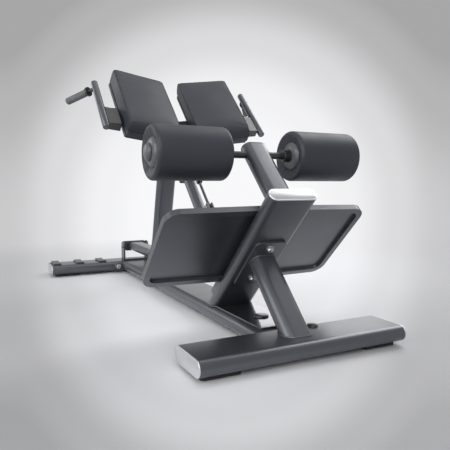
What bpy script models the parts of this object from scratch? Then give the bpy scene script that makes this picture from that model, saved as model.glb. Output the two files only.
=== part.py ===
"""Hyperextension bench: a 45 degree back bench with sliding hip pads and two ankle rollers.

Metres, +Z up, +X to the right, +Y forward from the ankle rollers to the hip pads.
The origin is on the floor, under the middle of the whole bench.

Most of the bench lies on one 45 degree slope.  Places on it are given as
a, the distance forward and up along the beam, and
b, the distance up and back along the post, square to the beam.
Both are measured from the point where the post's centre line meets the floor.
"""
import math

import bmesh
import bpy
from mathutils import Matrix, Vector

# Clearances, and how far welded or moulded shapes run into each other
GAP = 0.0003
RUNNING = 0.0003
WELD = 0.001
EDGE = 0.001

# Floor frame
FOOT_THICKNESS = 0.008
BASE_TUBE_WIDTH = 0.150
BASE_TUBE_HEIGHT = 0.048
BASE_WALL = 0.003
REAR_BASE_LENGTH = 0.600
FRONT_BASE_LENGTH = 0.825
RAIL_WIDTH = 0.160
REAR_BASE_BEHIND_POST = 0.437
FRONT_BASE_AHEAD_OF_POST = 1.029
END_CAP_THICKNESS = 0.004
END_CAP_PLUG = 0.014
FOOT_LENGTH = 0.105
FOOT_DEPTH = 0.070
REAR_FOOT_INSET = 0.062
FRONT_FOOT_INSET = 0.075
STEP_BLOCK_WIDTH = 0.034
STEP_BLOCK_DEPTH = 0.104
STEP_BLOCK_HEIGHT = 0.008
STEP_BLOCK_FIRST = 0.170
STEP_BLOCK_END_INSET = 0.0285
STEP_BLOCK_COUNT = 3
COVER_PLATE_WIDTH = 0.126
COVER_PLATE_THICKNESS = 0.004
COVER_DISC_DIAMETER = 0.040
COVER_DISC_HEIGHT = 0.004
COVER_DISC_BEHIND_POST = 0.257
JOINT_BOLT_DIAMETER = 0.012
JOINT_BOLT_LENGTH = 0.022
JOINT_BOSS_DIAMETER = 0.036
JOINT_BOSS_LENGTH = 0.010
JOINT_BOSS_FROM_CENTRE = 0.100

# Post, strut and footplate
POST_WIDTH = 0.145
POST_THICKNESS = 0.040
POST_LENGTH = 0.586
STRUT_WIDTH = 0.081
STRUT_THICKNESS = 0.050
STRUT_UP_POST = 0.3415
STRUT_PLATE_WIDTH = 0.100
STRUT_PLATE_LENGTH = 0.196
STRUT_PLATE_THICKNESS = 0.008
STRUT_PLATE_CENTRE = 0.324
TUBE_WALL = 0.003
FOOTPLATE_HALF_WIDTH = 0.314
FOOTPLATE_SIDE_HEIGHT = 0.313
FOOTPLATE_MIDDLE_HEIGHT = 0.325
FOOTPLATE_CENTRE = 0.3412
FOOTPLATE_THICKNESS = 0.018
FOOTPLATE_PANEL = 0.006
FOOTPLATE_RIM = 0.020
FOOTPLATE_CORNER = 0.040
TREAD_INSET = 0.014
TREAD_THICKNESS = 0.003
TREAD_RIB_HEIGHT = 0.003
TREAD_RIB_PITCH = 0.018
TREAD_RIB_WIDTH = 0.009
BRACKET_WIDTH = 0.100
BRACKET_LENGTH = 0.220
PLATE_BOLT_DIAMETER = 0.012
PLATE_BOLT_SPACING = 0.138
PLATE_BOLT_SHORT_OF_FACE = 0.0015
BOLT_HEAD_DIAMETER = 0.0205
BOLT_HEAD_HEIGHT = 0.0075
WASHER_DIAMETER = 0.0245
WASHER_THICKNESS = 0.0022

# Ankle rollers
ARM_WIDTH = 0.078
ARM_THICKNESS = 0.045
ARM_UP_POST = 0.5310
AXLE_ALONG = 0.2072
ARM_PAST_AXLE = 0.032
AXLE_DIAMETER = 0.020
ROLLER_DIAMETER = 0.150
ROLLER_LENGTH = 0.215
ROLLER_CENTRE = 0.214
ROLLER_CORE_DIAMETER = 0.060
ROLLER_HUB_WALL = 0.006
ROLLER_EDGE = 0.020
ROLLER_DISH = 0.007
ROLLER_DISC_DIAMETER = 0.074
ROLLER_DISC_THICKNESS = 0.005
COLLAR_DIAMETER = 0.034
COLLAR_LENGTH = 0.020
AXLE_CAP_DIAMETER = 0.032
AXLE_CAP_LENGTH = 0.012
AXLE_CAP_WALL = 0.003

# Beam, column and front yoke
BEAM_DIAMETER = 0.040
BEAM_UP_POST = 0.1247
BEAM_LENGTH = 0.830
PIN_HOLE_PITCH = 0.030
SOCKET_WIDTH = 0.116
SOCKET_LENGTH = 0.092
SOCKET_THICKNESS = 0.022
SOCKET_CORNER = 0.022
SOCKET_ABOVE_BEAM = 0.006
SOCKET_RING_WALL = 0.008
SOCKET_RING_REACH = 0.050
COLUMN_WIDTH = 0.080
COLUMN_THICKNESS = 0.040
COLUMN_SHORT_OF_BEAM_END = 0.0301
COLUMN_LEAN = math.radians(15.0)
COLUMN_FOOT_HEIGHT = 0.128
COLUMN_BEND_RADIUS = 0.095
FOOT_BUSH_LENGTH = 0.056
YOKE_Y_AHEAD_OF_POST = 1.003
YOKE_SPACING = 0.112
YOKE_PLATE = 0.008
YOKE_DEPTH = 0.046
YOKE_PIN_DIAMETER = 0.010
YOKE_HEAD_DIAMETER = 0.018
YOKE_HEAD_HEIGHT = 0.006

# Gas spring
GAS_UP_POST = 0.1890
GAS_LOWER_EYE = 0.3215
GAS_ROD_DIAMETER = 0.010
GAS_PISTON_LENGTH = 0.012
GAS_BODY_DIAMETER = 0.022
GAS_BODY_WALL = 0.0015
GAS_BODY_END_WALL = 0.004
GAS_GLAND = 0.008
GAS_UPPER_EYE_PAST_BODY = 0.014
GAS_END_CLEARANCE = 0.0075
GAS_PISTON_CLEARANCE = 0.0025
GAS_EYE_DIAMETER = 0.016
GAS_EYE_WIDTH = 0.012
GAS_NECK_DIAMETER = 0.0125
GAS_NECK_LENGTH = 0.014
GAS_PIN_DIAMETER = 0.008
GAS_CLAMP_WALL = 0.006
GAS_FORK_LENGTH = 0.028
GAS_FORK_WALL = 0.005
GAS_CLEVIS_LENGTH = 0.022

# Sliding hip pad carriage
CARRIAGE_TRAVEL = 0.090
SLEEVE_SIZE = 0.056
SLEEVE_WALL = 0.004
SLEEVE_START = 0.511
SLEEVE_LENGTH = 0.145
LINER_LENGTH = 0.026
LINER_FLANGE = 0.003
BRIDGE_WIDTH = 0.056
BRIDGE_WALL = 0.004
BRIDGE_START = 0.520
BRIDGE_END = 0.786
PAD_FRAME_START = 0.691
PAD_FRAME_END = 0.786
PAD_FRAME_THICKNESS = 0.006
PAD_FRAME_SHORT_OF_HANDLE = 0.0013
PAD_CANT = math.radians(10.0)
PAD_GAP = 0.059
PAD_WIDTH = 0.211
PAD_START = 0.621
PAD_END = 0.938
PAD_THICKNESS = 0.075
PAD_FACE_AT_GAP = 0.2687
PAD_BOARD_THICKNESS = 0.012
PAD_BOARD_MARGIN = 0.010
PAD_BOARD_START = 0.650
PAD_CROWN = 0.06
PAD_DRAW_IN = 0.004
PULL_PIN_DIAMETER = 0.010
PULL_PIN_PAST_WALL = 0.0015
PULL_HOUSING_DIAMETER = 0.024
PULL_HOUSING_LENGTH = 0.018
PULL_KNOB_DIAMETER = 0.034
PULL_KNOB_LENGTH = 0.024

# Handles
HANDLE_DIAMETER = 0.025
HANDLE_X = 0.310
HANDLE_UP_POST = 0.2610
HANDLE_START = 0.637
HANDLE_PAST_GRIP = 0.035
HANDLE_SPACER_START = 0.656
HANDLE_SPACER_END = 0.766
HANDLE_SPACER_WIDTH = 0.046
GRIP_ALONG = 0.861
GRIP_DIRECTION = Vector((0.55, 0.80, -0.25)).normalized()
GRIP_BAR_DIAMETER = 0.014
GRIP_LENGTH = 0.148
GRIP_DIAMETER = 0.027
GRIP_START = 0.038
GRIP_FLANGE_DIAMETER = 0.035
GRIP_FLANGE_THICKNESS = 0.005
GRIP_END_WALL = 0.004
GRIP_SWELL = 0.001

# Worked out from the sizes above
COS45 = math.cos(math.radians(45.0))
TUBE_TOP = FOOT_THICKNESS + BASE_TUBE_HEIGHT
TUBE_MIDDLE = FOOT_THICKNESS + BASE_TUBE_HEIGHT / 2
LENGTH = REAR_BASE_BEHIND_POST + FRONT_BASE_AHEAD_OF_POST + BASE_TUBE_WIDTH
POST_Y = REAR_BASE_BEHIND_POST + BASE_TUBE_WIDTH / 2 - LENGTH / 2
REAR_Y = POST_Y - REAR_BASE_BEHIND_POST
FRONT_Y = POST_Y + FRONT_BASE_AHEAD_OF_POST
STEP_BLOCK_LAST = FRONT_BASE_LENGTH / 2 - STEP_BLOCK_END_INSET
STEP_BLOCK_PITCH = (STEP_BLOCK_LAST - STEP_BLOCK_FIRST) / (STEP_BLOCK_COUNT - 1)
COLUMN_ALONG_BEAM = BEAM_LENGTH - COLUMN_SHORT_OF_BEAM_END
SLEEVE_MIDDLE = SLEEVE_START + SLEEVE_LENGTH / 2
GAS_NECK_END = GAS_LOWER_EYE + GAS_EYE_DIAMETER / 2 + GAS_NECK_LENGTH
GAS_BODY_START = GAS_NECK_END + CARRIAGE_TRAVEL + GAS_END_CLEARANCE
GAS_PISTON_START = GAS_BODY_START + GAS_GLAND + CARRIAGE_TRAVEL + GAS_PISTON_CLEARANCE
GAS_ROD_END = GAS_PISTON_START + GAS_PISTON_LENGTH
GAS_BODY_END = GAS_ROD_END + CARRIAGE_TRAVEL + GAS_BODY_END_WALL + GAS_PISTON_CLEARANCE
GAS_UPPER_EYE = GAS_BODY_END + GAS_UPPER_EYE_PAST_BODY
HANDLE_END = GRIP_ALONG + HANDLE_PAST_GRIP
POST_FRONT = POST_THICKNESS / 2
POST_REAR = -POST_THICKNESS / 2

COLOURS = {
    "paint": ((0.075, 0.078, 0.088), 0.38, 0.35),
    "upholstery": ((0.040, 0.042, 0.046), 0.55, 0.0),
    "rubber": ((0.018, 0.018, 0.020), 0.75, 0.0),
    "silver": ((0.72, 0.73, 0.75), 0.28, 1.0),
    "black": ((0.025, 0.025, 0.028), 0.45, 0.1),
    "wood": ((0.35, 0.24, 0.14), 0.7, 0.0),
}


def clear_scene():
    for item in list(bpy.data.objects):
        bpy.data.objects.remove(item, do_unlink=True)


def new_collection(name):
    collection = bpy.data.collections.new(name)
    bpy.context.scene.collection.children.link(collection)
    return collection


clear_scene()
BENCH = new_collection("hyperextension_bench")
CUTTERS = new_collection("cutters")


def on_slope(a, b, x=0.0):
    """A point of the bench from its place on the 45 degree slope."""
    return Vector((x, POST_Y + (a - b) * COS45, (a + b) * COS45))


def beam_frame(a, b, x=0.0):
    """Local Z runs up the beam, local X stays level and local Y points away from the user."""
    turn = Matrix(((1, 0, 0), (0, COS45, COS45), (0, -COS45, COS45))).to_4x4()
    return Matrix.Translation(on_slope(a, b, x)) @ turn


def post_frame(a, b, x=0.0):
    """Local Z runs up the post, local X stays level and local Y points up the beam."""
    turn = Matrix(((1, 0, 0), (0, COS45, -COS45), (0, COS45, COS45))).to_4x4()
    return Matrix.Translation(on_slope(a, b, x)) @ turn


def across_frame(centre):
    """Local Z runs level to the right."""
    return Matrix.Translation(centre) @ Matrix.Rotation(math.radians(90.0), 4, "Y")


def direction_frame(start, direction):
    """Local Z runs along a direction from a start point."""
    return Matrix.Translation(start) @ direction.to_track_quat("Z", "Y").to_matrix().to_4x4()


def material(name, finish):
    colour, roughness, metallic = COLOURS[finish]
    made = bpy.data.materials.new(name + "_" + finish)
    made.use_nodes = True
    shader = made.node_tree.nodes["Principled BSDF"]
    shader.inputs["Base Color"].default_value = (*colour, 1.0)
    shader.inputs["Roughness"].default_value = roughness
    shader.inputs["Metallic"].default_value = metallic
    return made


def add(name, mesh, matrix, finish):
    """Puts a mesh in the bench under its node name, with its own material."""
    made = bpy.data.objects.new(name, mesh)
    BENCH.objects.link(made)
    made.matrix_world = matrix
    if finish:
        mesh.materials.clear()
        mesh.materials.append(material(name, finish))
        mesh.shade_smooth()
        mesh.set_sharp_from_angle(angle=math.radians(35.0))
    return made


def flat_oval(width, height, steps=8):
    """Outline of a flat-oval tube, round at both narrow sides."""
    radius = height / 2
    reach = width / 2 - radius
    points = []
    for side, start in ((1, -90.0), (-1, 90.0)):
        for step in range(steps + 1):
            angle = math.radians(start + 180.0 * step / steps)
            points.append((side * reach + radius * math.cos(angle), radius * math.sin(angle)))
    return points


def round_rectangle(width, height, radius, steps=6):
    """Outline of a rectangle with round corners."""
    points = []
    corners = ((1, 1, 0.0), (-1, 1, 90.0), (-1, -1, 180.0), (1, -1, 270.0))
    for x_side, y_side, start in corners:
        for step in range(steps + 1):
            angle = math.radians(start + 90.0 * step / steps)
            points.append((x_side * (width / 2 - radius) + radius * math.cos(angle),
                           y_side * (height / 2 - radius) + radius * math.sin(angle)))
    return points


def sides(diameter):
    """How many flat sides stand for a round one of this diameter."""
    if diameter < 0.030:
        return 16
    return 24 if diameter < 0.060 else 36


def circle(diameter, steps=None):
    """Outline of a circle."""
    steps = steps or sides(diameter)
    angles = [2 * math.pi * step / steps for step in range(steps)]
    return [(diameter / 2 * math.cos(angle), diameter / 2 * math.sin(angle)) for angle in angles]


def rounded_polygon(corners, steps=6):
    """Outline through corners given as (x, y, radius), each rounded by an arc."""
    points = []
    count = len(corners)
    for index, (x, y, radius) in enumerate(corners):
        here = Vector((x, y))
        before = (Vector(corners[index - 1][:2]) - here).normalized()
        after = (Vector(corners[(index + 1) % count][:2]) - here).normalized()
        if radius <= 0.0:
            points.append((x, y))
            continue
        half = before.angle(after) / 2
        centre = here + (before + after).normalized() * (radius / math.sin(half))
        start = here + before * (radius / math.tan(half)) - centre
        end = here + after * (radius / math.tan(half)) - centre
        turn = start.angle_signed(end)
        for step in range(steps + 1):
            angle = -turn * step / steps
            spoke = Vector((start.x * math.cos(angle) - start.y * math.sin(angle),
                            start.x * math.sin(angle) + start.y * math.cos(angle)))
            points.append(tuple(centre + spoke))
    return points


def prism_mesh(name, outlines, length):
    """Mesh of a flat outline, with any holes in it, drawn out along Z from 0 to length."""
    curve = bpy.data.curves.new(name, "CURVE")
    curve.dimensions = "2D"
    curve.fill_mode = "BOTH"
    curve.extrude = length / 2
    for outline in outlines:
        spline = curve.splines.new("POLY")
        spline.points.add(len(outline) - 1)
        for point, (x, y) in zip(spline.points, outline):
            point.co = (x, y, 0.0, 1.0)
        spline.use_cyclic_u = True
    holder = bpy.data.objects.new(name + "_curve", curve)
    bpy.context.scene.collection.objects.link(holder)
    bpy.context.view_layer.update()
    evaluated = holder.evaluated_get(bpy.context.evaluated_depsgraph_get())
    mesh = bpy.data.meshes.new_from_object(evaluated)
    bpy.data.objects.remove(holder, do_unlink=True)
    bpy.data.curves.remove(curve)
    shape = bmesh.new()
    shape.from_mesh(mesh)
    bmesh.ops.remove_doubles(shape, verts=shape.verts, dist=0.00001)
    bmesh.ops.translate(shape, verts=shape.verts, vec=(0.0, 0.0, length / 2))
    bmesh.ops.recalc_face_normals(shape, faces=shape.faces)
    shape.to_mesh(mesh)
    shape.free()
    mesh.name = name
    return mesh


def prism(name, outlines, length, matrix, finish):
    return add(name, prism_mesh(name, outlines, length), matrix, finish)


def turned(name, profile, matrix, finish, closed=False):
    """A profile of (radius, height) points turned round local Z."""
    steps = sides(2 * max(radius for radius, height in profile))
    shape = bmesh.new()
    points = [shape.verts.new((radius, 0.0, height)) for radius, height in profile]
    pairs = list(zip(points, points[1:]))
    if closed:
        pairs.append((points[-1], points[0]))
    for first, second in pairs:
        shape.edges.new((first, second))
    mesh = bpy.data.meshes.new(name)
    shape.to_mesh(mesh)
    shape.free()
    holder = bpy.data.objects.new(name + "_profile", mesh)
    bpy.context.scene.collection.objects.link(holder)
    screw = holder.modifiers.new("turn", "SCREW")
    screw.axis = "Z"
    screw.angle = 2 * math.pi
    screw.steps = steps
    screw.render_steps = steps
    screw.use_merge_vertices = True
    screw.merge_threshold = 0.00001
    screw.use_smooth_shade = True
    bpy.context.view_layer.update()
    evaluated = holder.evaluated_get(bpy.context.evaluated_depsgraph_get())
    result = bpy.data.meshes.new_from_object(evaluated)
    bpy.data.objects.remove(holder, do_unlink=True)
    shape = bmesh.new()
    shape.from_mesh(result)
    bmesh.ops.remove_doubles(shape, verts=shape.verts, dist=0.00001)
    bmesh.ops.recalc_face_normals(shape, faces=shape.faces)
    shape.to_mesh(result)
    shape.free()
    result.name = name
    return add(name, result, matrix, finish)


def block(name, size, matrix, finish, bevel=0.0):
    """A box with rounded edges, centred on its frame."""
    shape = bmesh.new()
    bmesh.ops.create_cube(shape, size=1.0)
    bmesh.ops.scale(shape, verts=shape.verts, vec=size)
    mesh = bpy.data.meshes.new(name)
    shape.to_mesh(mesh)
    shape.free()
    made = add(name, mesh, matrix, finish)
    if bevel > 0.0:
        rounded = made.modifiers.new("rounded_edges", "BEVEL")
        rounded.width = bevel
        rounded.segments = 1
        rounded.limit_method = "ANGLE"
    return made


def as_cutter(piece):
    piece.hide_render = True
    piece.display_type = "WIRE"
    for collection in list(piece.users_collection):
        collection.objects.unlink(piece)
    CUTTERS.objects.link(piece)
    return piece


def boolean(target, other, operation):
    step = target.modifiers.new(operation.lower() + "_" + other.name, "BOOLEAN")
    step.operation = operation
    step.solver = "EXACT"
    step.object = other
    return target


def cut(target, *cutters):
    for cutter in cutters:
        boolean(target, as_cutter(cutter), "DIFFERENCE")
    return target


def unite(target, *others):
    for other in others:
        boolean(target, as_cutter(other), "UNION")
    return target


def carry(empty_name, location, pieces):
    """Hangs pieces on an empty that stands on their joint's axis."""
    empty = bpy.data.objects.new(empty_name, None)
    empty.empty_display_size = 0.05
    BENCH.objects.link(empty)
    empty.location = location
    bpy.context.view_layer.update()
    for piece in pieces:
        world = piece.matrix_world.copy()
        piece.parent = empty
        piece.matrix_parent_inverse = empty.matrix_world.inverted()
        piece.matrix_world = world
    return empty


def hex_head(name, diameter, height, matrix, finish):
    return prism(name, [circle(diameter, 6)], height, matrix, finish)


# Floor frame: two flat-oval cross tubes, joined by the long rail
base_outline = flat_oval(BASE_TUBE_WIDTH, BASE_TUBE_HEIGHT)
base_bore = flat_oval(BASE_TUBE_WIDTH - 2 * BASE_WALL, BASE_TUBE_HEIGHT - 2 * BASE_WALL)
CROSS_TURN = Matrix(((0, 0, 1), (1, 0, 0), (0, 1, 0))).to_4x4()


def cross_tube_frame(y, x=0.0):
    """Local Z runs along the cross tube, local X runs forward."""
    return Matrix.Translation((x, y, TUBE_MIDDLE)) @ CROSS_TURN


def end_cap(name, width, height, wall, matrix):
    """Cap plate with a round edge, and a plug that fills the tube's mouth."""
    bore_width = width - 2 * wall - 2 * GAP
    bore_height = height - 2 * wall - 2 * GAP
    plate = prism(name, [flat_oval(width, height)], END_CAP_THICKNESS, matrix, "silver")
    edge = plate.modifiers.new("round_edge", "BEVEL")
    edge.width = 0.0012
    edge.segments = 1
    edge.limit_method = "ANGLE"
    edge.angle_limit = math.radians(60.0)
    plug_frame = matrix @ Matrix.Translation((0.0, 0.0, -END_CAP_PLUG))
    plug = prism(name + "_plug", [flat_oval(bore_width, bore_height)],
                 END_CAP_PLUG + END_CAP_THICKNESS / 2, plug_frame, None)
    return unite(plate, plug)


foot_height = FOOT_THICKNESS - GAP
for name, y, length, inset in (("rear", REAR_Y, REAR_BASE_LENGTH, REAR_FOOT_INSET),
                               ("front", FRONT_Y, FRONT_BASE_LENGTH, FRONT_FOOT_INSET)):
    tube_length = length - 2 * (END_CAP_THICKNESS + GAP)
    tube = prism(name + "_base_tube", [base_outline], tube_length,
                 cross_tube_frame(y, -tube_length / 2), "paint")
    bore = prism(name + "_base_bore", [base_bore], tube_length + 2 * WELD,
                 cross_tube_frame(y, -tube_length / 2 - WELD), None)
    if name == "rear":
        cut(tube, bore)
    for side, sign in (("left", -1), ("right", 1)):
        cap_frame = cross_tube_frame(y, sign * (tube_length / 2 + GAP))
        if sign < 0:
            cap_frame = cap_frame @ Matrix.Rotation(math.pi, 4, "Y")
        end_cap("end_cap_" + name + "_" + side, BASE_TUBE_WIDTH, BASE_TUBE_HEIGHT, BASE_WALL, cap_frame)
        foot_x = sign * (length / 2 - inset)
        block("foot_" + name + "_" + side, (FOOT_LENGTH, FOOT_DEPTH, foot_height),
              Matrix.Translation((foot_x, y, foot_height / 2)), "rubber", bevel=0.002)
front_tube = tube
front_bore = bore

# Raised anti-slip blocks along the top of the front cross tube
for sign in (-1, 1):
    for number in range(STEP_BLOCK_COUNT):
        block_x = sign * (STEP_BLOCK_FIRST + number * STEP_BLOCK_PITCH)
        block_height = STEP_BLOCK_HEIGHT + WELD
        unite(front_tube, block("step_block", (STEP_BLOCK_WIDTH, STEP_BLOCK_DEPTH, block_height),
                                Matrix.Translation((block_x, FRONT_Y, TUBE_TOP - WELD + block_height / 2)),
                                None, bevel=0.0025))

# Long rail, coped to the round sides of both cross tubes
rail_length = FRONT_Y - REAR_Y
rail_frame = (Matrix.Translation((0.0, REAR_Y, TUBE_MIDDLE))
              @ Matrix(((1, 0, 0), (0, 0, 1), (0, -1, 0))).to_4x4())
rail = prism("floor_rail",
             [flat_oval(RAIL_WIDTH, BASE_TUBE_HEIGHT),
              flat_oval(RAIL_WIDTH - 2 * BASE_WALL, BASE_TUBE_HEIGHT - 2 * BASE_WALL)],
             rail_length, rail_frame, "paint")
cope_outline = flat_oval(BASE_TUBE_WIDTH + 2 * GAP, BASE_TUBE_HEIGHT + 2 * GAP)
for name, y in (("rear", REAR_Y), ("front", FRONT_Y)):
    cut(rail, prism("rail_cope_" + name, [cope_outline], FRONT_BASE_LENGTH,
                    cross_tube_frame(y, -FRONT_BASE_LENGTH / 2), None))

# Cover plate on the rail, between the rear cross tube and the post's foot
post_foot_reach = POST_THICKNESS / COS45 / 2
plate_rear = REAR_Y + BASE_TUBE_WIDTH / 2
plate_front = POST_Y - TUBE_TOP - post_foot_reach - COVER_PLATE_THICKNESS - 3 * GAP
plate_length = plate_front - plate_rear
plate_corners = round_rectangle(COVER_PLATE_WIDTH, plate_length, 0.006, 4)
prism("rail_cover_plate", [plate_corners], COVER_PLATE_THICKNESS,
      Matrix.Translation((0.0, (plate_front + plate_rear) / 2, TUBE_TOP + GAP)), "paint")
disc_radius = COVER_DISC_DIAMETER / 2
disc_height = COVER_DISC_HEIGHT
turned("rail_cover_disc",
       [(0.0, disc_height), (disc_radius * 0.7, disc_height * 0.9), (disc_radius, disc_height * 0.5),
        (disc_radius, 0.0), (0.0, 0.0)],
       Matrix.Translation((0.0, POST_Y - COVER_DISC_BEHIND_POST,
                           TUBE_TOP + COVER_PLATE_THICKNESS + 2 * GAP)), "black")

# Bolted joint between the rail and the front cross tube, with one round boss on each side
side_radius = BASE_TUBE_HEIGHT / 2
boss_depth = side_radius - math.sqrt(side_radius ** 2 - (JOINT_BOSS_DIAMETER / 2) ** 2) + WELD
forward_turn = Matrix.Rotation(math.radians(-90.0), 4, "X")
boss_holes = []
for side, sign in (("left", -1), ("right", 1)):
    boss_face = FRONT_Y - BASE_TUBE_WIDTH / 2 - JOINT_BOSS_LENGTH
    boss_frame = Matrix.Translation((sign * JOINT_BOSS_FROM_CENTRE, boss_face, TUBE_MIDDLE)) @ forward_turn
    unite(front_tube, prism("boss", [circle(JOINT_BOSS_DIAMETER)], JOINT_BOSS_LENGTH + boss_depth,
                            boss_frame, None))
    boss_holes.append(prism("boss_hole", [circle(JOINT_BOLT_DIAMETER + 2 * RUNNING)], 0.05,
                            boss_frame @ Matrix.Translation((0.0, 0.0, -0.01)), None))
    bolt = prism("rail_bolt_" + side, [circle(JOINT_BOLT_DIAMETER)], JOINT_BOLT_LENGTH,
                 boss_frame @ Matrix.Translation((0.0, 0.0, -GAP - WELD)), "silver")
    unite(bolt, hex_head("rail_bolt_head", BOLT_HEAD_DIAMETER, BOLT_HEAD_HEIGHT,
                         boss_frame @ Matrix.Translation((0.0, 0.0, -GAP - BOLT_HEAD_HEIGHT)), None))
cut(front_tube, front_bore, *boss_holes)

# Post: flat-oval tube leaning back at 45 degrees, cut level where it stands on the rail
post_outline = flat_oval(POST_WIDTH, POST_THICKNESS)
post_bore = flat_oval(POST_WIDTH - 2 * TUBE_WALL, POST_THICKNESS - 2 * TUBE_WALL)
post_tube_length = POST_LENGTH - END_CAP_THICKNESS - GAP
post = prism("post", [post_outline, post_bore], post_tube_length, post_frame(0.0, 0.0), "paint")


def floor_cutter(name, y, top):
    """Everything below a level plane, round one place along the bench."""
    size = 0.4
    return block(name, (size, size, size), Matrix.Translation((0.0, y, top - size / 2)), None)


cut(post, floor_cutter("post_foot_cut", POST_Y, TUBE_TOP + GAP))
end_cap("end_cap_post", POST_WIDTH, POST_THICKNESS, TUBE_WALL, post_frame(0.0, post_tube_length + GAP))

# Strut: from the rear cross tube up to a welded plate on the post's rear face
strut_plate_rear = POST_REAR - GAP - STRUT_PLATE_THICKNESS
strut_length = strut_plate_rear + WELD + STRUT_UP_POST
strut = prism("strut",
              [flat_oval(STRUT_WIDTH, STRUT_THICKNESS),
               flat_oval(STRUT_WIDTH - 2 * TUBE_WALL, STRUT_THICKNESS - 2 * TUBE_WALL)],
              strut_length, beam_frame(-STRUT_UP_POST, STRUT_UP_POST), "paint")
cut(strut, floor_cutter("strut_foot_cut", REAR_Y, TUBE_TOP + GAP))
unite(strut, prism("strut_plate", [round_rectangle(STRUT_PLATE_WIDTH, STRUT_PLATE_LENGTH, 0.014)],
                   STRUT_PLATE_THICKNESS, beam_frame(strut_plate_rear, STRUT_PLATE_CENTRE), None))

# Footplate: a six-sided tray with a raised rim underneath, and a ribbed rubber tread on top
rim_face = POST_FRONT + GAP
tray_top = rim_face + FOOTPLATE_THICKNESS


def footplate_outline(inset, corner):
    """Six-sided outline whose long edges bow out a little at the middle."""
    half_width = FOOTPLATE_HALF_WIDTH - inset
    side = FOOTPLATE_SIDE_HEIGHT / 2 - inset
    middle = FOOTPLATE_MIDDLE_HEIGHT / 2 - inset
    return rounded_polygon([(half_width, side, corner), (0.0, middle, 0.02),
                            (-half_width, side, corner), (-half_width, -side, corner),
                            (0.0, -middle, 0.02), (half_width, -side, corner)])


footplate = prism("footplate", [footplate_outline(0.0, FOOTPLATE_CORNER)], FOOTPLATE_THICKNESS,
                  beam_frame(rim_face, FOOTPLATE_CENTRE), "paint")
recess_depth = FOOTPLATE_THICKNESS - FOOTPLATE_PANEL
recess = prism("footplate_recess",
               [footplate_outline(FOOTPLATE_RIM, FOOTPLATE_CORNER - FOOTPLATE_RIM)],
               recess_depth + 0.01, beam_frame(rim_face - 0.01, FOOTPLATE_CENTRE), None)
cut(footplate, recess)

# Ribbed tread: a comb drawn out across the bench, kept inside the tray's outline
comb = []
comb_half = FOOTPLATE_MIDDLE_HEIGHT / 2
rib_count = int(2 * comb_half / TREAD_RIB_PITCH)
comb.append((comb_half, 0.0))
comb_base = TREAD_THICKNESS
rib_start = rib_count * TREAD_RIB_PITCH / 2
comb.append((comb_half, comb_base))
for rib in range(rib_count):
    centre = rib_start - (rib + 0.5) * TREAD_RIB_PITCH
    half = TREAD_RIB_WIDTH / 2
    shoulder = half - TREAD_RIB_HEIGHT / 2
    comb.append((centre + half, comb_base))
    comb.append((centre + shoulder, comb_base + TREAD_RIB_HEIGHT))
    comb.append((centre - shoulder, comb_base + TREAD_RIB_HEIGHT))
    comb.append((centre - half, comb_base))
comb.append((-comb_half, comb_base))
comb.append((-comb_half, 0.0))
tread_face = tray_top + GAP
tread_frame = (beam_frame(tread_face, FOOTPLATE_CENTRE)
               @ Matrix.Translation((-FOOTPLATE_HALF_WIDTH, 0.0, 0.0)) @ CROSS_TURN)
tread = prism("footplate_tread", [comb], 2 * FOOTPLATE_HALF_WIDTH, tread_frame, "rubber")
tread_outline = prism("tread_outline", [footplate_outline(TREAD_INSET, FOOTPLATE_CORNER - TREAD_INSET)],
                      0.04, beam_frame(tread_face - 0.01, FOOTPLATE_CENTRE), None)
boolean(tread, as_cutter(tread_outline), "INTERSECT")

# Spacer bracket between the post and the tray's recessed panel
bracket_thickness = recess_depth - 2 * GAP
bracket = prism("footplate_bracket", [round_rectangle(BRACKET_WIDTH, BRACKET_LENGTH, 0.008, 4)],
                bracket_thickness, beam_frame(rim_face + GAP, STRUT_PLATE_CENTRE), "black")

# Two bolts clamp the strut plate, the post and the bracket together
bolt_clearance = PLATE_BOLT_DIAMETER + 2 * RUNNING
bolt_start = strut_plate_rear - GAP - WASHER_THICKNESS
bolt_end = rim_face + bracket_thickness - PLATE_BOLT_SHORT_OF_FACE
for place, sign in (("lower", -1), ("upper", 1)):
    b = STRUT_PLATE_CENTRE + sign * PLATE_BOLT_SPACING / 2
    for target in (strut, post, bracket):
        cut(target, prism("plate_bolt_hole", [circle(bolt_clearance)], bolt_end - bolt_start + 0.01,
                          beam_frame(bolt_start, b), None))
    bolt = prism("plate_bolt_" + place, [circle(PLATE_BOLT_DIAMETER)], bolt_end - bolt_start,
                 beam_frame(bolt_start, b), "silver")
    unite(bolt,
          prism("plate_washer", [circle(WASHER_DIAMETER)], WASHER_THICKNESS,
                beam_frame(bolt_start, b), None),
          hex_head("plate_bolt_head", BOLT_HEAD_DIAMETER, BOLT_HEAD_HEIGHT + WELD,
                   beam_frame(bolt_start - BOLT_HEAD_HEIGHT, b), None))

# Roller arm, standing off the front of the post under its cap
arm_start = POST_FRONT + GAP
arm_end = AXLE_ALONG + ARM_PAST_AXLE
arm_tube_end = arm_end - END_CAP_THICKNESS - GAP
arm = prism("roller_arm",
            [flat_oval(ARM_WIDTH, ARM_THICKNESS),
             flat_oval(ARM_WIDTH - 2 * TUBE_WALL, ARM_THICKNESS - 2 * TUBE_WALL)],
            arm_tube_end - arm_start, beam_frame(arm_start, ARM_UP_POST), "paint")
axle_centre = on_slope(AXLE_ALONG, ARM_UP_POST)
axle_hole = prism("axle_hole", [circle(AXLE_DIAMETER + 2 * RUNNING)], 0.2,
                  across_frame(axle_centre - Vector((0.1, 0.0, 0.0))), None)
cut(arm, axle_hole)
end_cap("end_cap_arm", ARM_WIDTH, ARM_THICKNESS, TUBE_WALL,
        beam_frame(arm_end - END_CAP_THICKNESS, ARM_UP_POST))

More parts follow.
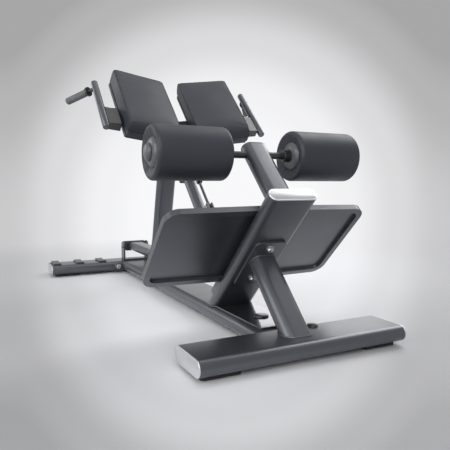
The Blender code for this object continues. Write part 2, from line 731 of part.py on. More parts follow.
# Axle through the arm, with a stop collar beside each roller and a cap on each end
outer_face = ROLLER_CENTRE + ROLLER_LENGTH / 2
inner_face = ROLLER_CENTRE - ROLLER_LENGTH / 2
axle_half = outer_face + AXLE_CAP_LENGTH - AXLE_CAP_WALL - GAP
axle_radius = AXLE_DIAMETER / 2
collar_radius = COLLAR_DIAMETER / 2
collar_outer = inner_face - GAP
collar_inner = collar_outer - COLLAR_LENGTH


def mirrored(upper_half):
    """A turned outline from its upper half, with the same shape below."""
    return upper_half + [(radius, -height) for radius, height in reversed(upper_half)]


turned("roller_axle",
       mirrored([(0.0, axle_half), (axle_radius - EDGE, axle_half), (axle_radius, axle_half - EDGE),
                 (axle_radius, collar_outer), (collar_radius - EDGE, collar_outer),
                 (collar_radius, collar_outer - EDGE), (collar_radius, collar_inner + EDGE),
                 (collar_radius - EDGE, collar_inner), (axle_radius, collar_inner)]),
       across_frame(axle_centre), "black")
for side, sign in (("left", -1), ("right", 1)):
    cap_radius = AXLE_CAP_DIAMETER / 2
    cap_turn = Matrix() if sign > 0 else Matrix.Rotation(math.pi, 4, "X")
    turned("axle_cap_" + side,
           [(0.0, AXLE_CAP_LENGTH), (cap_radius * 0.55, AXLE_CAP_LENGTH - 0.0008),
            (cap_radius * 0.88, AXLE_CAP_LENGTH - 0.003), (cap_radius, AXLE_CAP_LENGTH - 0.007),
            (cap_radius, 0.0), (axle_radius + RUNNING, 0.0),
            (axle_radius + RUNNING, AXLE_CAP_LENGTH - AXLE_CAP_WALL),
            (0.0, AXLE_CAP_LENGTH - AXLE_CAP_WALL)],
           across_frame(axle_centre + Vector((sign * (outer_face + GAP), 0.0, 0.0))) @ cap_turn,
           "black")

# Ankle rollers: a bored spool with an end disc each side, in an upholstered foam sleeve
hub_bore = axle_radius + RUNNING
hub_outer = hub_bore + ROLLER_HUB_WALL
spool_radius = ROLLER_CORE_DIAMETER / 2
disc_outer = ROLLER_DISC_DIAMETER / 2
disc_back = ROLLER_LENGTH / 2 - ROLLER_DISH - ROLLER_DISC_THICKNESS
cushion_end = disc_back - GAP


def roller_edge(steps=4):
    """Rolled edge of the foam sleeve, from its end face round to its side."""
    outer = ROLLER_DIAMETER / 2 - ROLLER_EDGE
    top = ROLLER_LENGTH / 2 - ROLLER_EDGE
    angles = [math.radians(90.0 - 90.0 * step / steps) for step in range(steps + 1)]
    return [(outer + ROLLER_EDGE * math.cos(angle), top + ROLLER_EDGE * math.sin(angle))
            for angle in angles]


hub_end = ROLLER_LENGTH / 2 - GAP
spool_outline = mirrored([
    (hub_bore, hub_end), (hub_outer, hub_end), (hub_outer + 0.001, disc_back + ROLLER_DISC_THICKNESS),
    (disc_outer * 0.75, disc_back + ROLLER_DISC_THICKNESS),
    (disc_outer, disc_back + ROLLER_DISC_THICKNESS * 0.6), (disc_outer, disc_back),
    (spool_radius, disc_back)])
cushion_outline = mirrored([
    (spool_radius + GAP, cushion_end), (disc_outer + GAP, cushion_end),
    (disc_outer * 1.10, ROLLER_LENGTH / 2 - ROLLER_DISH)] + roller_edge())
for side, sign in (("left", -1), ("right", 1)):
    centre = axle_centre + Vector((sign * ROLLER_CENTRE, 0.0, 0.0))
    spool = turned("roller_spool_" + side, spool_outline, across_frame(centre), "black", closed=True)
    cushion = turned("roller_cushion_" + side, cushion_outline, across_frame(centre), "upholstery",
                     closed=True)
    carry("roller_" + side + "_axis", centre, [spool, cushion])

# Beam: round tube at 45 degrees, with a row of holes for the pull pin in its right side
beam_start = POST_FRONT + SOCKET_THICKNESS + 2 * GAP
beam = prism("beam", [circle(BEAM_DIAMETER), circle(BEAM_DIAMETER - 2 * TUBE_WALL)],
             BEAM_LENGTH - beam_start, beam_frame(beam_start, BEAM_UP_POST), "paint")
holes_each_way = round(CARRIAGE_TRAVEL / PIN_HOLE_PITCH)
for number in range(-holes_each_way, holes_each_way + 1):
    along = SLEEVE_MIDDLE + number * PIN_HOLE_PITCH
    hole = prism("pin_hole", [circle(PULL_PIN_DIAMETER + 2 * RUNNING)], 0.03,
                 across_frame(on_slope(along, BEAM_UP_POST, 0.010)), None)
    cut(beam, hole)
turned("beam_end_plug",
       [(0.0, 0.004), (BEAM_DIAMETER / 2 - 0.002, 0.004), (BEAM_DIAMETER / 2, 0.002),
        (BEAM_DIAMETER / 2, 0.0), (BEAM_DIAMETER / 2 - TUBE_WALL - GAP, 0.0),
        (BEAM_DIAMETER / 2 - TUBE_WALL - GAP, -0.016), (0.0, -0.016)],
       beam_frame(BEAM_LENGTH + GAP, BEAM_UP_POST), "black")

# Socket: the welded flange that carries the beam's lower end on the post's front face
socket = prism("beam_socket", [round_rectangle(SOCKET_WIDTH, SOCKET_LENGTH, SOCKET_CORNER)],
               SOCKET_THICKNESS, beam_frame(POST_FRONT + GAP, BEAM_UP_POST + SOCKET_ABOVE_BEAM), "paint")
ring_root = SOCKET_THICKNESS / 2
unite(socket, prism("beam_socket_ring", [circle(BEAM_DIAMETER + 2 * SOCKET_RING_WALL)],
                    SOCKET_RING_REACH - ring_root,
                    beam_frame(POST_FRONT + GAP + ring_root, BEAM_UP_POST), None))
cut(socket, prism("beam_socket_bore", [circle(BEAM_DIAMETER + 2 * GAP)], SOCKET_RING_REACH,
                  beam_frame(POST_FRONT + SOCKET_THICKNESS + GAP, BEAM_UP_POST), None))

# Column: flat-oval tube that leans back, bends forward near the floor and ends in a bush
column_top = on_slope(COLUMN_ALONG_BEAM, BEAM_UP_POST)
lean_back = Vector((0.0, -math.sin(COLUMN_LEAN), math.cos(COLUMN_LEAN)))
foot_end_y = POST_Y + YOKE_Y_AHEAD_OF_POST - FOOT_BUSH_LENGTH / 2 - GAP
corner_drop = (column_top.z - COLUMN_FOOT_HEIGHT) / lean_back.z
corner = column_top - lean_back * corner_drop
bend_turn = math.radians(90.0) - COLUMN_LEAN
bend_reach = COLUMN_BEND_RADIUS * math.tan(bend_turn / 2)


def column_stations(steps=7):
    """Centre line of the column from its top to the end of its foot, with its direction."""
    stations = [(column_top + lean_back * 0.04, -lean_back)]
    bend_start = corner + lean_back * bend_reach
    inward = Vector((0.0, math.cos(COLUMN_LEAN), math.sin(COLUMN_LEAN)))
    centre = bend_start + inward * COLUMN_BEND_RADIUS
    for step in range(steps + 1):
        angle = bend_turn * step / steps
        spoke = Matrix.Rotation(angle, 3, "X") @ (-inward)
        heading = Matrix.Rotation(angle, 3, "X") @ (-lean_back)
        stations.append((centre + spoke * COLUMN_BEND_RADIUS, heading))
    stations.append((Vector((0.0, foot_end_y, COLUMN_FOOT_HEIGHT)), Vector((0.0, 1.0, 0.0))))
    return stations


def swept(name, outline, stations, finish):
    """A flat outline carried along a path that stays in the bench's middle plane."""
    shape = bmesh.new()
    rings = []
    for centre, heading in stations:
        side = Vector((1.0, 0.0, 0.0))
        up = heading.cross(side)
        rings.append([shape.verts.new(centre + side * x + up * y) for x, y in outline])
    count = len(outline)
    for first, second in zip(rings, rings[1:]):
        for index in range(count):
            following = (index + 1) % count
            shape.faces.new((first[index], first[following], second[following], second[index]))
    shape.faces.new(rings[0])
    shape.faces.new(reversed(rings[-1]))
    bmesh.ops.recalc_face_normals(shape, faces=shape.faces)
    mesh = bpy.data.meshes.new(name)
    shape.to_mesh(mesh)
    shape.free()
    return add(name, mesh, Matrix(), finish)


column = swept("column", flat_oval(COLUMN_WIDTH, COLUMN_THICKNESS), column_stations(), "paint")
bore_stations = column_stations()
bore_stations[-1] = (bore_stations[-1][0] + Vector((0.0, 0.01, 0.0)), bore_stations[-1][1])
bore_stations[0] = (bore_stations[0][0] + lean_back * 0.02, bore_stations[0][1])
column_bore = swept("column_bore", flat_oval(COLUMN_WIDTH - 2 * TUBE_WALL,
                                             COLUMN_THICKNESS - 2 * TUBE_WALL),
                    bore_stations, None)
beam_cope = prism("column_cope", [circle(BEAM_DIAMETER + 2 * GAP)], 0.4,
                  beam_frame(COLUMN_ALONG_BEAM - 0.2, BEAM_UP_POST), None)
above_beam = block("column_top_cut", (0.3, 0.3, 0.3),
                   beam_frame(COLUMN_ALONG_BEAM, BEAM_UP_POST + 0.15), None)
cut(column, column_bore, beam_cope, above_beam)

# Bush at the column's foot, held by a bolt between the two cheeks of the front yoke
yoke_y = POST_Y + YOKE_Y_AHEAD_OF_POST
pin_centre = Vector((0.0, yoke_y, COLUMN_FOOT_HEIGHT))
pin_clearance = [circle(YOKE_PIN_DIAMETER + 2 * RUNNING)]
yoke_outer = YOKE_SPACING / 2 + YOKE_PLATE
bush = block("foot_bush", (YOKE_SPACING - 2 * GAP, FOOT_BUSH_LENGTH, COLUMN_THICKNESS + 0.004),
             Matrix.Translation(pin_centre), "rubber", bevel=0.005)
pin_bore_frame = across_frame(pin_centre - Vector((2 * yoke_outer, 0.0, 0.0)))
cut(bush, prism("foot_bush_bore", pin_clearance, 4 * yoke_outer, pin_bore_frame, None))
yoke_top = COLUMN_FOOT_HEIGHT + YOKE_DEPTH / 2
yoke_base = TUBE_TOP + GAP
yoke_inner = YOKE_SPACING / 2
yoke_outline = [(-yoke_outer, yoke_base), (yoke_outer, yoke_base), (yoke_outer, yoke_top),
                (yoke_inner, yoke_top), (yoke_inner, yoke_base + YOKE_PLATE),
                (-yoke_inner, yoke_base + YOKE_PLATE), (-yoke_inner, yoke_top), (-yoke_outer, yoke_top)]
yoke_turn = Matrix.Rotation(math.radians(90.0), 4, "X")
yoke_frame = Matrix.Translation((0.0, yoke_y + YOKE_DEPTH / 2, 0.0)) @ yoke_turn
yoke = prism("front_yoke", [yoke_outline], YOKE_DEPTH, yoke_frame, "paint")
yoke_half = YOKE_DEPTH / 2 + GAP
yoke_side = [(-yoke_half, 0.0, 0.0), (yoke_half, 0.0, 0.0),
             (yoke_half, yoke_top, YOKE_DEPTH / 2), (-yoke_half, yoke_top, YOKE_DEPTH / 2)]
yoke_round = prism("yoke_round", [rounded_polygon(yoke_side, 8)], 4 * yoke_outer,
                   Matrix.Translation((-2 * yoke_outer, yoke_y, 0.0)) @ CROSS_TURN, None)
boolean(yoke, as_cutter(yoke_round), "INTERSECT")
cut(yoke, prism("yoke_bore", pin_clearance, 4 * yoke_outer, pin_bore_frame, None))
head_start = yoke_outer + GAP
yoke_bolt = prism("yoke_bolt", [circle(YOKE_PIN_DIAMETER)], 2 * (head_start + WELD),
                  across_frame(pin_centre - Vector((head_start + WELD, 0.0, 0.0))), "silver")
for start in (head_start, -head_start - YOKE_HEAD_HEIGHT):
    unite(yoke_bolt, hex_head("yoke_bolt_head", YOKE_HEAD_DIAMETER, YOKE_HEAD_HEIGHT,
                              across_frame(pin_centre + Vector((start, 0.0, 0.0))), None))

# Gas spring, rod down: its lower eye sits in a fork that is clamped round the beam
gas_lower = on_slope(GAS_LOWER_EYE, GAS_UP_POST)
gas_upper = on_slope(GAS_UPPER_EYE, GAS_UP_POST)
gas_pin_clearance = [circle(GAS_PIN_DIAMETER + 2 * RUNNING)]
eye_gap = GAS_EYE_WIDTH / 2 + GAP
fork_half = eye_gap + GAS_FORK_WALL
gas_bracket = prism("gas_bracket", [circle(BEAM_DIAMETER + 2 * GAS_CLAMP_WALL)], GAS_FORK_LENGTH,
                    beam_frame(GAS_LOWER_EYE - GAS_FORK_LENGTH / 2, BEAM_UP_POST), "paint")
fork_height = GAS_UP_POST - BEAM_UP_POST + GAS_EYE_DIAMETER / 2 + 0.003
fork_floor = BEAM_DIAMETER / 2 + GAS_CLAMP_WALL + 0.004
unite(gas_bracket, block("gas_fork", (2 * fork_half, fork_height, GAS_FORK_LENGTH - 0.004),
                         beam_frame(GAS_LOWER_EYE, BEAM_UP_POST + fork_height / 2), None))
cut(gas_bracket,
    prism("gas_bracket_bore", [circle(BEAM_DIAMETER + 2 * GAP)], 0.1,
          beam_frame(GAS_LOWER_EYE - 0.05, BEAM_UP_POST), None),
    block("gas_fork_slot", (2 * eye_gap, fork_height, 0.1),
          beam_frame(GAS_LOWER_EYE, BEAM_UP_POST + fork_floor + fork_height / 2), None),
    prism("gas_fork_hole", gas_pin_clearance, 0.1,
          across_frame(gas_lower - Vector((0.05, 0.0, 0.0))), None))


def gas_pin(name, centre):
    """Headed pin across the gas spring's eye and its fork."""
    shank = GAS_PIN_DIAMETER / 2
    head = shank + 0.0025
    reach = fork_half + GAP
    return turned(name,
                  [(0.0, reach + 0.003), (head - 0.001, reach + 0.003), (head, reach + 0.002),
                   (head, reach), (shank, reach), (shank, -reach - 0.002),
                   (shank - 0.001, -reach - 0.003), (0.0, -reach - 0.003)],
                  across_frame(centre), "silver")


gas_pin("gas_lower_pin", gas_lower)
rod_radius = GAS_ROD_DIAMETER / 2
piston_radius = GAS_BODY_DIAMETER / 2 - GAS_BODY_WALL - RUNNING
rod_length = GAS_ROD_END - GAS_LOWER_EYE
neck_top = GAS_EYE_DIAMETER / 2 + GAS_NECK_LENGTH
neck_radius = GAS_NECK_DIAMETER / 2
gas_rod = turned("gas_rod",
                 [(0.0, rod_length), (piston_radius, rod_length),
                  (piston_radius, rod_length - GAS_PISTON_LENGTH),
                  (rod_radius, rod_length - GAS_PISTON_LENGTH), (rod_radius, neck_top),
                  (neck_radius, neck_top - 0.001), (neck_radius, 0.0), (0.0, 0.0)],
                 beam_frame(GAS_LOWER_EYE, GAS_UP_POST), "black")
unite(gas_rod, prism("gas_rod_eye", [circle(GAS_EYE_DIAMETER)], GAS_EYE_WIDTH,
                     across_frame(gas_lower - Vector((GAS_EYE_WIDTH / 2, 0.0, 0.0))), None))
cut(gas_rod, prism("gas_rod_eye_hole", gas_pin_clearance, 0.1,
                   across_frame(gas_lower - Vector((0.05, 0.0, 0.0))), None))

# Gas spring body: closed at the top, with a gland that the rod slides in
body_length = GAS_BODY_END - GAS_BODY_START
body_outer = GAS_BODY_DIAMETER / 2
body_inner = body_outer - GAS_BODY_WALL
bore_end = body_length - GAS_BODY_END_WALL
eye_height = GAS_UPPER_EYE - GAS_BODY_START
gas_body = turned("gas_body",
                  [(0.0, eye_height), (neck_radius, eye_height), (neck_radius, body_length),
                   (body_outer - EDGE, body_length), (body_outer, body_length - EDGE),
                   (body_outer, EDGE), (body_outer - EDGE, 0.0), (rod_radius + RUNNING, 0.0),
                   (rod_radius + RUNNING, GAS_GLAND), (body_inner, GAS_GLAND),
                   (body_inner, bore_end), (0.0, bore_end)],
                  beam_frame(GAS_BODY_START, GAS_UP_POST), "black")
unite(gas_body, prism("gas_body_eye", [circle(GAS_EYE_DIAMETER)], GAS_EYE_WIDTH,
                      across_frame(gas_upper - Vector((GAS_EYE_WIDTH / 2, 0.0, 0.0))), None))
cut(gas_body, prism("gas_body_eye_hole", gas_pin_clearance, 0.1,
                    across_frame(gas_upper - Vector((0.05, 0.0, 0.0))), None))

# Sleeve that slides on the beam, with a flanged liner pressed in each end
sleeve_bore = SLEEVE_SIZE - 2 * SLEEVE_WALL
sleeve_outline = round_rectangle(SLEEVE_SIZE, SLEEVE_SIZE, 0.006, 4)
sleeve = prism("carriage_sleeve",
               [sleeve_outline, round_rectangle(sleeve_bore, sleeve_bore, 0.003, 3)],
               SLEEVE_LENGTH, beam_frame(SLEEVE_START, BEAM_UP_POST), "paint")
housing_start = SLEEVE_SIZE / 2 + GAP
pin_at = on_slope(SLEEVE_MIDDLE, BEAM_UP_POST)
pull_clearance = circle(PULL_PIN_DIAMETER + 2 * RUNNING)
cut(sleeve, prism("sleeve_pin_hole", [pull_clearance], SLEEVE_SIZE / 2,
                  across_frame(pin_at + Vector((SLEEVE_SIZE / 4, 0.0, 0.0))), None))
beam_hole = circle(BEAM_DIAMETER + 2 * RUNNING)
plug_size = sleeve_bore - 2 * GAP
liners = []
for place, start, turn in (("lower", SLEEVE_START - GAP, Matrix.Rotation(math.pi, 4, "X")),
                           ("upper", SLEEVE_START + SLEEVE_LENGTH + GAP, Matrix())):
    liner_frame = beam_frame(start, BEAM_UP_POST) @ turn
    liner = prism("sleeve_liner_" + place, [sleeve_outline, beam_hole], LINER_FLANGE, liner_frame, "black")
    plug_frame = liner_frame @ Matrix.Translation((0.0, 0.0, -LINER_LENGTH))
    unite(liner, prism("liner_plug", [round_rectangle(plug_size, plug_size, 0.0028, 3), beam_hole],
                       LINER_LENGTH + WELD, plug_frame, None))
    liners.append(liner)

# Bridge: channel on top of the sleeve that straddles the gas spring and carries the pads
slope_rise = math.tan(PAD_CANT)
pad_back_at_gap = PAD_FACE_AT_GAP - PAD_THICKNESS * math.cos(PAD_CANT)
pad_back_x = PAD_GAP / 2 + PAD_THICKNESS * math.sin(PAD_CANT)
frame_top = pad_back_at_gap - pad_back_x * slope_rise - GAP / math.cos(PAD_CANT)
frame_drop = PAD_FRAME_THICKNESS / math.cos(PAD_CANT)
bridge_bottom = BEAM_UP_POST + SLEEVE_SIZE / 2 + GAP
bridge_top = frame_top - frame_drop - GAP / math.cos(PAD_CANT)
outer = BRIDGE_WIDTH / 2
inner = outer - BRIDGE_WALL
wall_top = bridge_top - bridge_bottom


def upright(outline):
    """Turns an outline drawn with Y up the post over, because a beam frame's Y points the other way."""
    return [(x, -y) for x, y in reversed(outline)]


channel = [(-outer, 0.0), (outer, 0.0), (outer, wall_top + outer * slope_rise),
           (inner, wall_top + inner * slope_rise), (inner, BRIDGE_WALL), (-inner, BRIDGE_WALL),
           (-inner, wall_top + inner * slope_rise), (-outer, wall_top + outer * slope_rise)]
bridge = prism("carriage_bridge", [upright(channel)], BRIDGE_END - BRIDGE_START,
               beam_frame(BRIDGE_START, bridge_bottom), "paint")
clevis_base = bridge_bottom + BRIDGE_WALL - WELD
clevis_top = GAS_UP_POST + GAS_EYE_DIAMETER / 2 + 0.001
for sign in (-1, 1):
    lug = block("gas_clevis_lug", (GAS_FORK_WALL, clevis_top - clevis_base, GAS_CLEVIS_LENGTH),
                beam_frame(GAS_UPPER_EYE + 0.002, (clevis_base + clevis_top) / 2,
                           sign * (eye_gap + GAS_FORK_WALL / 2)), None)
    unite(bridge, lug)
cut(bridge, prism("clevis_hole", gas_pin_clearance, 2 * fork_half + 0.004,
                  across_frame(gas_upper - Vector((fork_half + 0.002, 0.0, 0.0))), None))
upper_pin = gas_pin("gas_upper_pin", gas_upper)

# Pad frame: a shallow V plate across the bridge, canted with the pads
frame_reach = HANDLE_X - HANDLE_DIAMETER / 2 - PAD_FRAME_SHORT_OF_HANDLE
frame_rise = frame_reach * slope_rise
pad_frame_outline = [(0.0, frame_top - frame_drop), (frame_reach, frame_top - frame_drop + frame_rise),
                     (frame_reach, frame_top + frame_rise), (0.0, frame_top),
                     (-frame_reach, frame_top + frame_rise),
                     (-frame_reach, frame_top - frame_drop + frame_rise)]
pad_frame = prism("pad_frame", [upright(pad_frame_outline)], PAD_FRAME_END - PAD_FRAME_START,
                  beam_frame(PAD_FRAME_START, 0.0), "paint")

# Pull pin: spring-loaded plunger in a housing on the sleeve's right side, with a round knob
housing = prism("pull_pin_housing", [circle(PULL_HOUSING_DIAMETER), pull_clearance],
                PULL_HOUSING_LENGTH, across_frame(pin_at + Vector((housing_start, 0.0, 0.0))), "silver")
plunger_tip = BEAM_DIAMETER / 2 - TUBE_WALL - PULL_PIN_PAST_WALL
knob_start = housing_start + PULL_HOUSING_LENGTH + GAP
plunger = prism("pull_pin_plunger", [circle(PULL_PIN_DIAMETER)], knob_start - GAP - plunger_tip,
                across_frame(pin_at + Vector((plunger_tip, 0.0, 0.0))), "silver")
knob_radius = PULL_KNOB_DIAMETER / 2
knob_neck = knob_radius * 0.6
knob = turned("pull_pin_knob",
              [(0.0, PULL_KNOB_LENGTH), (knob_radius * 0.8, PULL_KNOB_LENGTH),
               (knob_radius, PULL_KNOB_LENGTH - 0.004), (knob_radius, PULL_KNOB_LENGTH / 2),
               (knob_neck, PULL_KNOB_LENGTH / 4), (knob_neck, 0.0), (0.0, 0.0)],
              across_frame(pin_at + Vector((knob_start, 0.0, 0.0))), "black")

# Hip pads: plywood board and a crowned cushion each side, canted towards the middle
carriage_parts = [gas_body, sleeve, *liners, bridge, upper_pin, pad_frame, housing]


def pad_back_frame(sign):
    """Frame on the back plane of a pad: X out from the gap, Y from the back to the face, Z up the beam."""
    up_post = Vector((0.0, -COS45, COS45))
    outward = Vector((sign * math.cos(PAD_CANT), 0.0, 0.0)) + up_post * math.sin(PAD_CANT)
    face = Vector((-sign * math.sin(PAD_CANT), 0.0, 0.0)) + up_post * math.cos(PAD_CANT)
    along_beam = Vector((0.0, COS45, COS45))
    turn = Matrix((outward, face, along_beam)).transposed().to_4x4()
    return Matrix.Translation(on_slope(0.0, pad_back_at_gap, sign * pad_back_x)) @ turn


def cushion_cage():
    """Coarse cage of a pad: lower end rolled back, crowned face and drawn-in sides.

    Local X runs across the pad, Y from its back to its face and Z up the pad.
    """
    height = PAD_THICKNESS - PAD_BOARD_THICKNESS - GAP
    length = PAD_END - PAD_START
    across = (-0.5, -0.47, -0.30, 0.0, 0.30, 0.47, 0.5)
    # Height of the face, as a share of the pad's, at stations up the pad
    stations = ((0.0, 0.10), (0.001, 0.45), (0.018, 0.78), (0.052, 0.98), (0.110, 1.0),
                (length - 0.050, 1.0), (length - 0.014, 0.97), (length, 0.72), (length, 0.08))
    shape = bmesh.new()
    rings = []
    for place, share in stations:
        face = []
        back = []
        for column in across:
            at_edge = abs(column) == 0.5
            crown = 1.0 - 2.0 * PAD_CROWN * abs(column)
            face.append((column * PAD_WIDTH, height * share * (0.62 if at_edge else crown)))
            back.append((column * (PAD_WIDTH - 2 * PAD_DRAW_IN), 0.0))
        outline = face + list(reversed(back))
        rings.append([shape.verts.new((x + PAD_WIDTH / 2, y, place)) for x, y in outline])
    count = len(rings[0])
    for first, second in zip(rings, rings[1:]):
        for index in range(count):
            following = (index + 1) % count
            shape.faces.new((first[index], second[index], second[following], first[following]))
    for ring, is_top in ((rings[0], False), (rings[-1], True)):
        for index in range(len(across) - 1):
            corners = (ring[index], ring[index + 1], ring[count - 2 - index], ring[count - 1 - index])
            shape.faces.new(corners[::-1] if is_top else corners)
    mesh = bpy.data.meshes.new("cushion_cage")
    shape.to_mesh(mesh)
    shape.free()
    return mesh


board_width = PAD_WIDTH - 2 * PAD_BOARD_MARGIN
board_length = PAD_END - PAD_BOARD_MARGIN - PAD_BOARD_START
for side, sign in (("left", -1), ("right", 1)):
    pad_frame_matrix = pad_back_frame(sign)
    board_middle = (PAD_WIDTH / 2, PAD_BOARD_THICKNESS / 2, PAD_BOARD_START + board_length / 2)
    board = block("pad_board_" + side, (board_width, PAD_BOARD_THICKNESS, board_length),
                  pad_frame_matrix @ Matrix.Translation(board_middle), "wood", bevel=0.002)
    cushion = add("hip_pad_" + side, cushion_cage(),
                  pad_frame_matrix @ Matrix.Translation((0.0, PAD_BOARD_THICKNESS + GAP, PAD_START)),
                  "upholstery")
    soft = cushion.modifiers.new("soft", "SUBSURF")
    soft.levels = 1
    soft.render_levels = 1
    carriage_parts += [board, cushion]

# Handles: a welded tube, spacer and bar beside each pad, with a rubber grip that points forward
handle_radius = HANDLE_DIAMETER / 2
handle_length = HANDLE_END - HANDLE_START
handle_profile = [(0.0, handle_length), (handle_radius * 0.6, handle_length - 0.0004),
                  (handle_radius, handle_length - 0.003), (handle_radius, 0.003),
                  (handle_radius * 0.6, 0.0004), (0.0, 0.0)]
spacer_outer = HANDLE_X - handle_radius + WELD
spacer_inner = spacer_outer - HANDLE_SPACER_WIDTH
spacer_foot = frame_top + GAP / math.cos(PAD_CANT)
spacer_top = HANDLE_UP_POST + handle_radius / 2
bar_length = GRIP_LENGTH - GRIP_END_WALL
bar_radius = GRIP_BAR_DIAMETER / 2
grip_inner = bar_radius + GAP
grip_outer = GRIP_DIAMETER / 2
flange_radius = GRIP_FLANGE_DIAMETER / 2
flange_end = GRIP_START + GRIP_FLANGE_THICKNESS
grip_profile = [(0.0, GRIP_LENGTH), (grip_outer - 2 * EDGE, GRIP_LENGTH),
                (grip_outer, GRIP_LENGTH - GRIP_END_WALL),
                (grip_outer + GRIP_SWELL, (GRIP_LENGTH + flange_end) / 2)]
grip_profile += [(grip_outer, flange_end), (flange_radius, flange_end - EDGE),
                 (flange_radius, GRIP_START + EDGE), (flange_radius - EDGE, GRIP_START),
                 (grip_inner, GRIP_START), (grip_inner, bar_length + GAP), (0.0, bar_length + GAP)]
for side, sign in (("left", -1), ("right", 1)):
    handle = turned("handle_" + side, handle_profile,
                    beam_frame(HANDLE_START, HANDLE_UP_POST, sign * HANDLE_X), "paint")
    spacer_outline = [(sign * spacer_inner, spacer_foot + spacer_inner * slope_rise),
                      (sign * spacer_outer, spacer_foot + spacer_outer * slope_rise),
                      (sign * spacer_outer, spacer_top), (sign * spacer_inner, spacer_top)]
    spacer = prism("handle_spacer", [upright(spacer_outline)], HANDLE_SPACER_END - HANDLE_SPACER_START,
                   beam_frame(HANDLE_SPACER_START, 0.0), None)
    direction = Vector((sign * GRIP_DIRECTION.x, GRIP_DIRECTION.y, GRIP_DIRECTION.z))
    grip_frame = direction_frame(on_slope(GRIP_ALONG, HANDLE_UP_POST, sign * HANDLE_X), direction)
    bar = prism("grip_bar", [circle(GRIP_BAR_DIAMETER)], bar_length, grip_frame, None)
    unite(handle, spacer, bar)
    grip = turned("grip_" + side, grip_profile, grip_frame, "rubber")
    carriage_parts += [handle, grip]

carry("carriage_axis", on_slope(SLEEVE_MIDDLE, BEAM_UP_POST), carriage_parts)
carry("pull_pin_axis", pin_at, [plunger, knob])
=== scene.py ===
"""A 45 degree hyperextension bench, dressed round its CAD frame for one photograph.

Metres, +Z up, +X to the right, +Y forward from the ankle rollers to the hip pads.
The file follows the bench as it is put together, from its floor frame to its grips.
"""
import math

import bmesh
import bpy
from mathutils import Matrix, Vector
from mathutils.bvhtree import BVHTree


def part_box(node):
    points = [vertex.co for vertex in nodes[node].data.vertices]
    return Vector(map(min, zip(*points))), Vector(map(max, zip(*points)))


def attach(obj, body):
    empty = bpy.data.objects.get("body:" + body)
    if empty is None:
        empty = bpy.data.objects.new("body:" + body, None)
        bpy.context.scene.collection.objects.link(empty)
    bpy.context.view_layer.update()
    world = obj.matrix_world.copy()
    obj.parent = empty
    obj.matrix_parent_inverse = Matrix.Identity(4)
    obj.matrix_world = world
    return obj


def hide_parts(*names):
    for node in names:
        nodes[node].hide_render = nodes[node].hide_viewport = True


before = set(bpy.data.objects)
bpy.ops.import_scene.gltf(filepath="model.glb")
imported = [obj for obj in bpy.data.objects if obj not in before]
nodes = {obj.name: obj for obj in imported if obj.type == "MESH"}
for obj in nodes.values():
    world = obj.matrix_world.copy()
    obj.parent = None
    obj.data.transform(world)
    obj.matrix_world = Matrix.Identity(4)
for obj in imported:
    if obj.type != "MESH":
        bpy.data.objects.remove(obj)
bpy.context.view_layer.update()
scene = bpy.context.scene

# The camera stands behind the bench, to its left and at knee height, and looks a little down.
# Its place and turn were solved from the level cross tubes and the 45 degree post.
photo_camera = bpy.data.cameras.new("photo_camera")
photo_camera.lens = 40.0
photo_camera.sensor_width = 36.0
camera_object = bpy.data.objects.new("photo_camera", photo_camera)
scene.collection.objects.link(camera_object)
camera_object.location = (-0.728, -1.772, 0.440)
camera_object.rotation_euler = (math.radians(90.0 - 4.68), 0.0, math.radians(-26.65))
scene.camera = camera_object


# Cross tubes: two flat-oval steel tubes lie on the floor, one at each end of the bench.
# They are powder coated in satin charcoal, as is every welded part of the frame.
# A node tree draws each tube along its own centre line, with its long side kept level.
def add_node(tree, kind, inputs=None, **settings):
    """A node with its settings, and its inputs set to values or linked to sockets."""
    made = tree.nodes.new(kind)
    for name, value in settings.items():
        setattr(made, name, value)
    for name, value in (inputs or {}).items():
        if isinstance(value, bpy.types.NodeSocket):
            tree.links.new(value, made.inputs[name])
        else:
            made.inputs[name].default_value = value
    return made


def work_out(tree, operation, first, second=0.5):
    """The outcome of a sum on numbers or sockets, as a socket."""
    return add_node(tree, "ShaderNodeMath", {0: first, 1: second},
                    operation=operation).outputs["Value"]


def mottle(tree, shader, place, scale, low, high):
    """Lets the base colour drift between two tones over a soft noise."""
    noise = add_node(tree, "ShaderNodeTexNoise", {"Vector": place, "Scale": scale, "Detail": 3.0})
    ramp = add_node(tree, "ShaderNodeValToRGB", {"Fac": noise.outputs["Fac"]})
    ramp.color_ramp.elements[0].position = 0.3
    ramp.color_ramp.elements[0].color = (*low, 1.0)
    ramp.color_ramp.elements[1].position = 0.7
    ramp.color_ramp.elements[1].color = (*high, 1.0)
    tree.links.new(ramp.outputs["Color"], shader.inputs["Base Color"])


def vary_gloss(tree, shader, place, scale, low, high):
    """Lets the roughness drift between two values over a noise."""
    noise = add_node(tree, "ShaderNodeTexNoise", {"Vector": place, "Scale": scale, "Detail": 4.0})
    spread = add_node(tree, "ShaderNodeMapRange", {"Value": noise.outputs["Fac"], "From Min": 0.3,
                                                   "From Max": 0.7, "To Min": low, "To Max": high})
    tree.links.new(spread.outputs["Result"], shader.inputs["Roughness"])


def raise_grain(tree, shader, height, strength, distance):
    """Turns a height into a bump on the shader."""
    bump = add_node(tree, "ShaderNodeBump", {"Height": height, "Strength": strength,
                                             "Distance": distance})
    tree.links.new(bump.outputs["Normal"], shader.inputs["Normal"])


def open_finish(finish):
    """The node tree, the shader and the piece's own coordinates of a finish, to build on."""
    tree = finish.node_tree
    place = add_node(tree, "ShaderNodeTexCoord").outputs["Object"]
    return tree, tree.nodes["Principled BSDF"], place


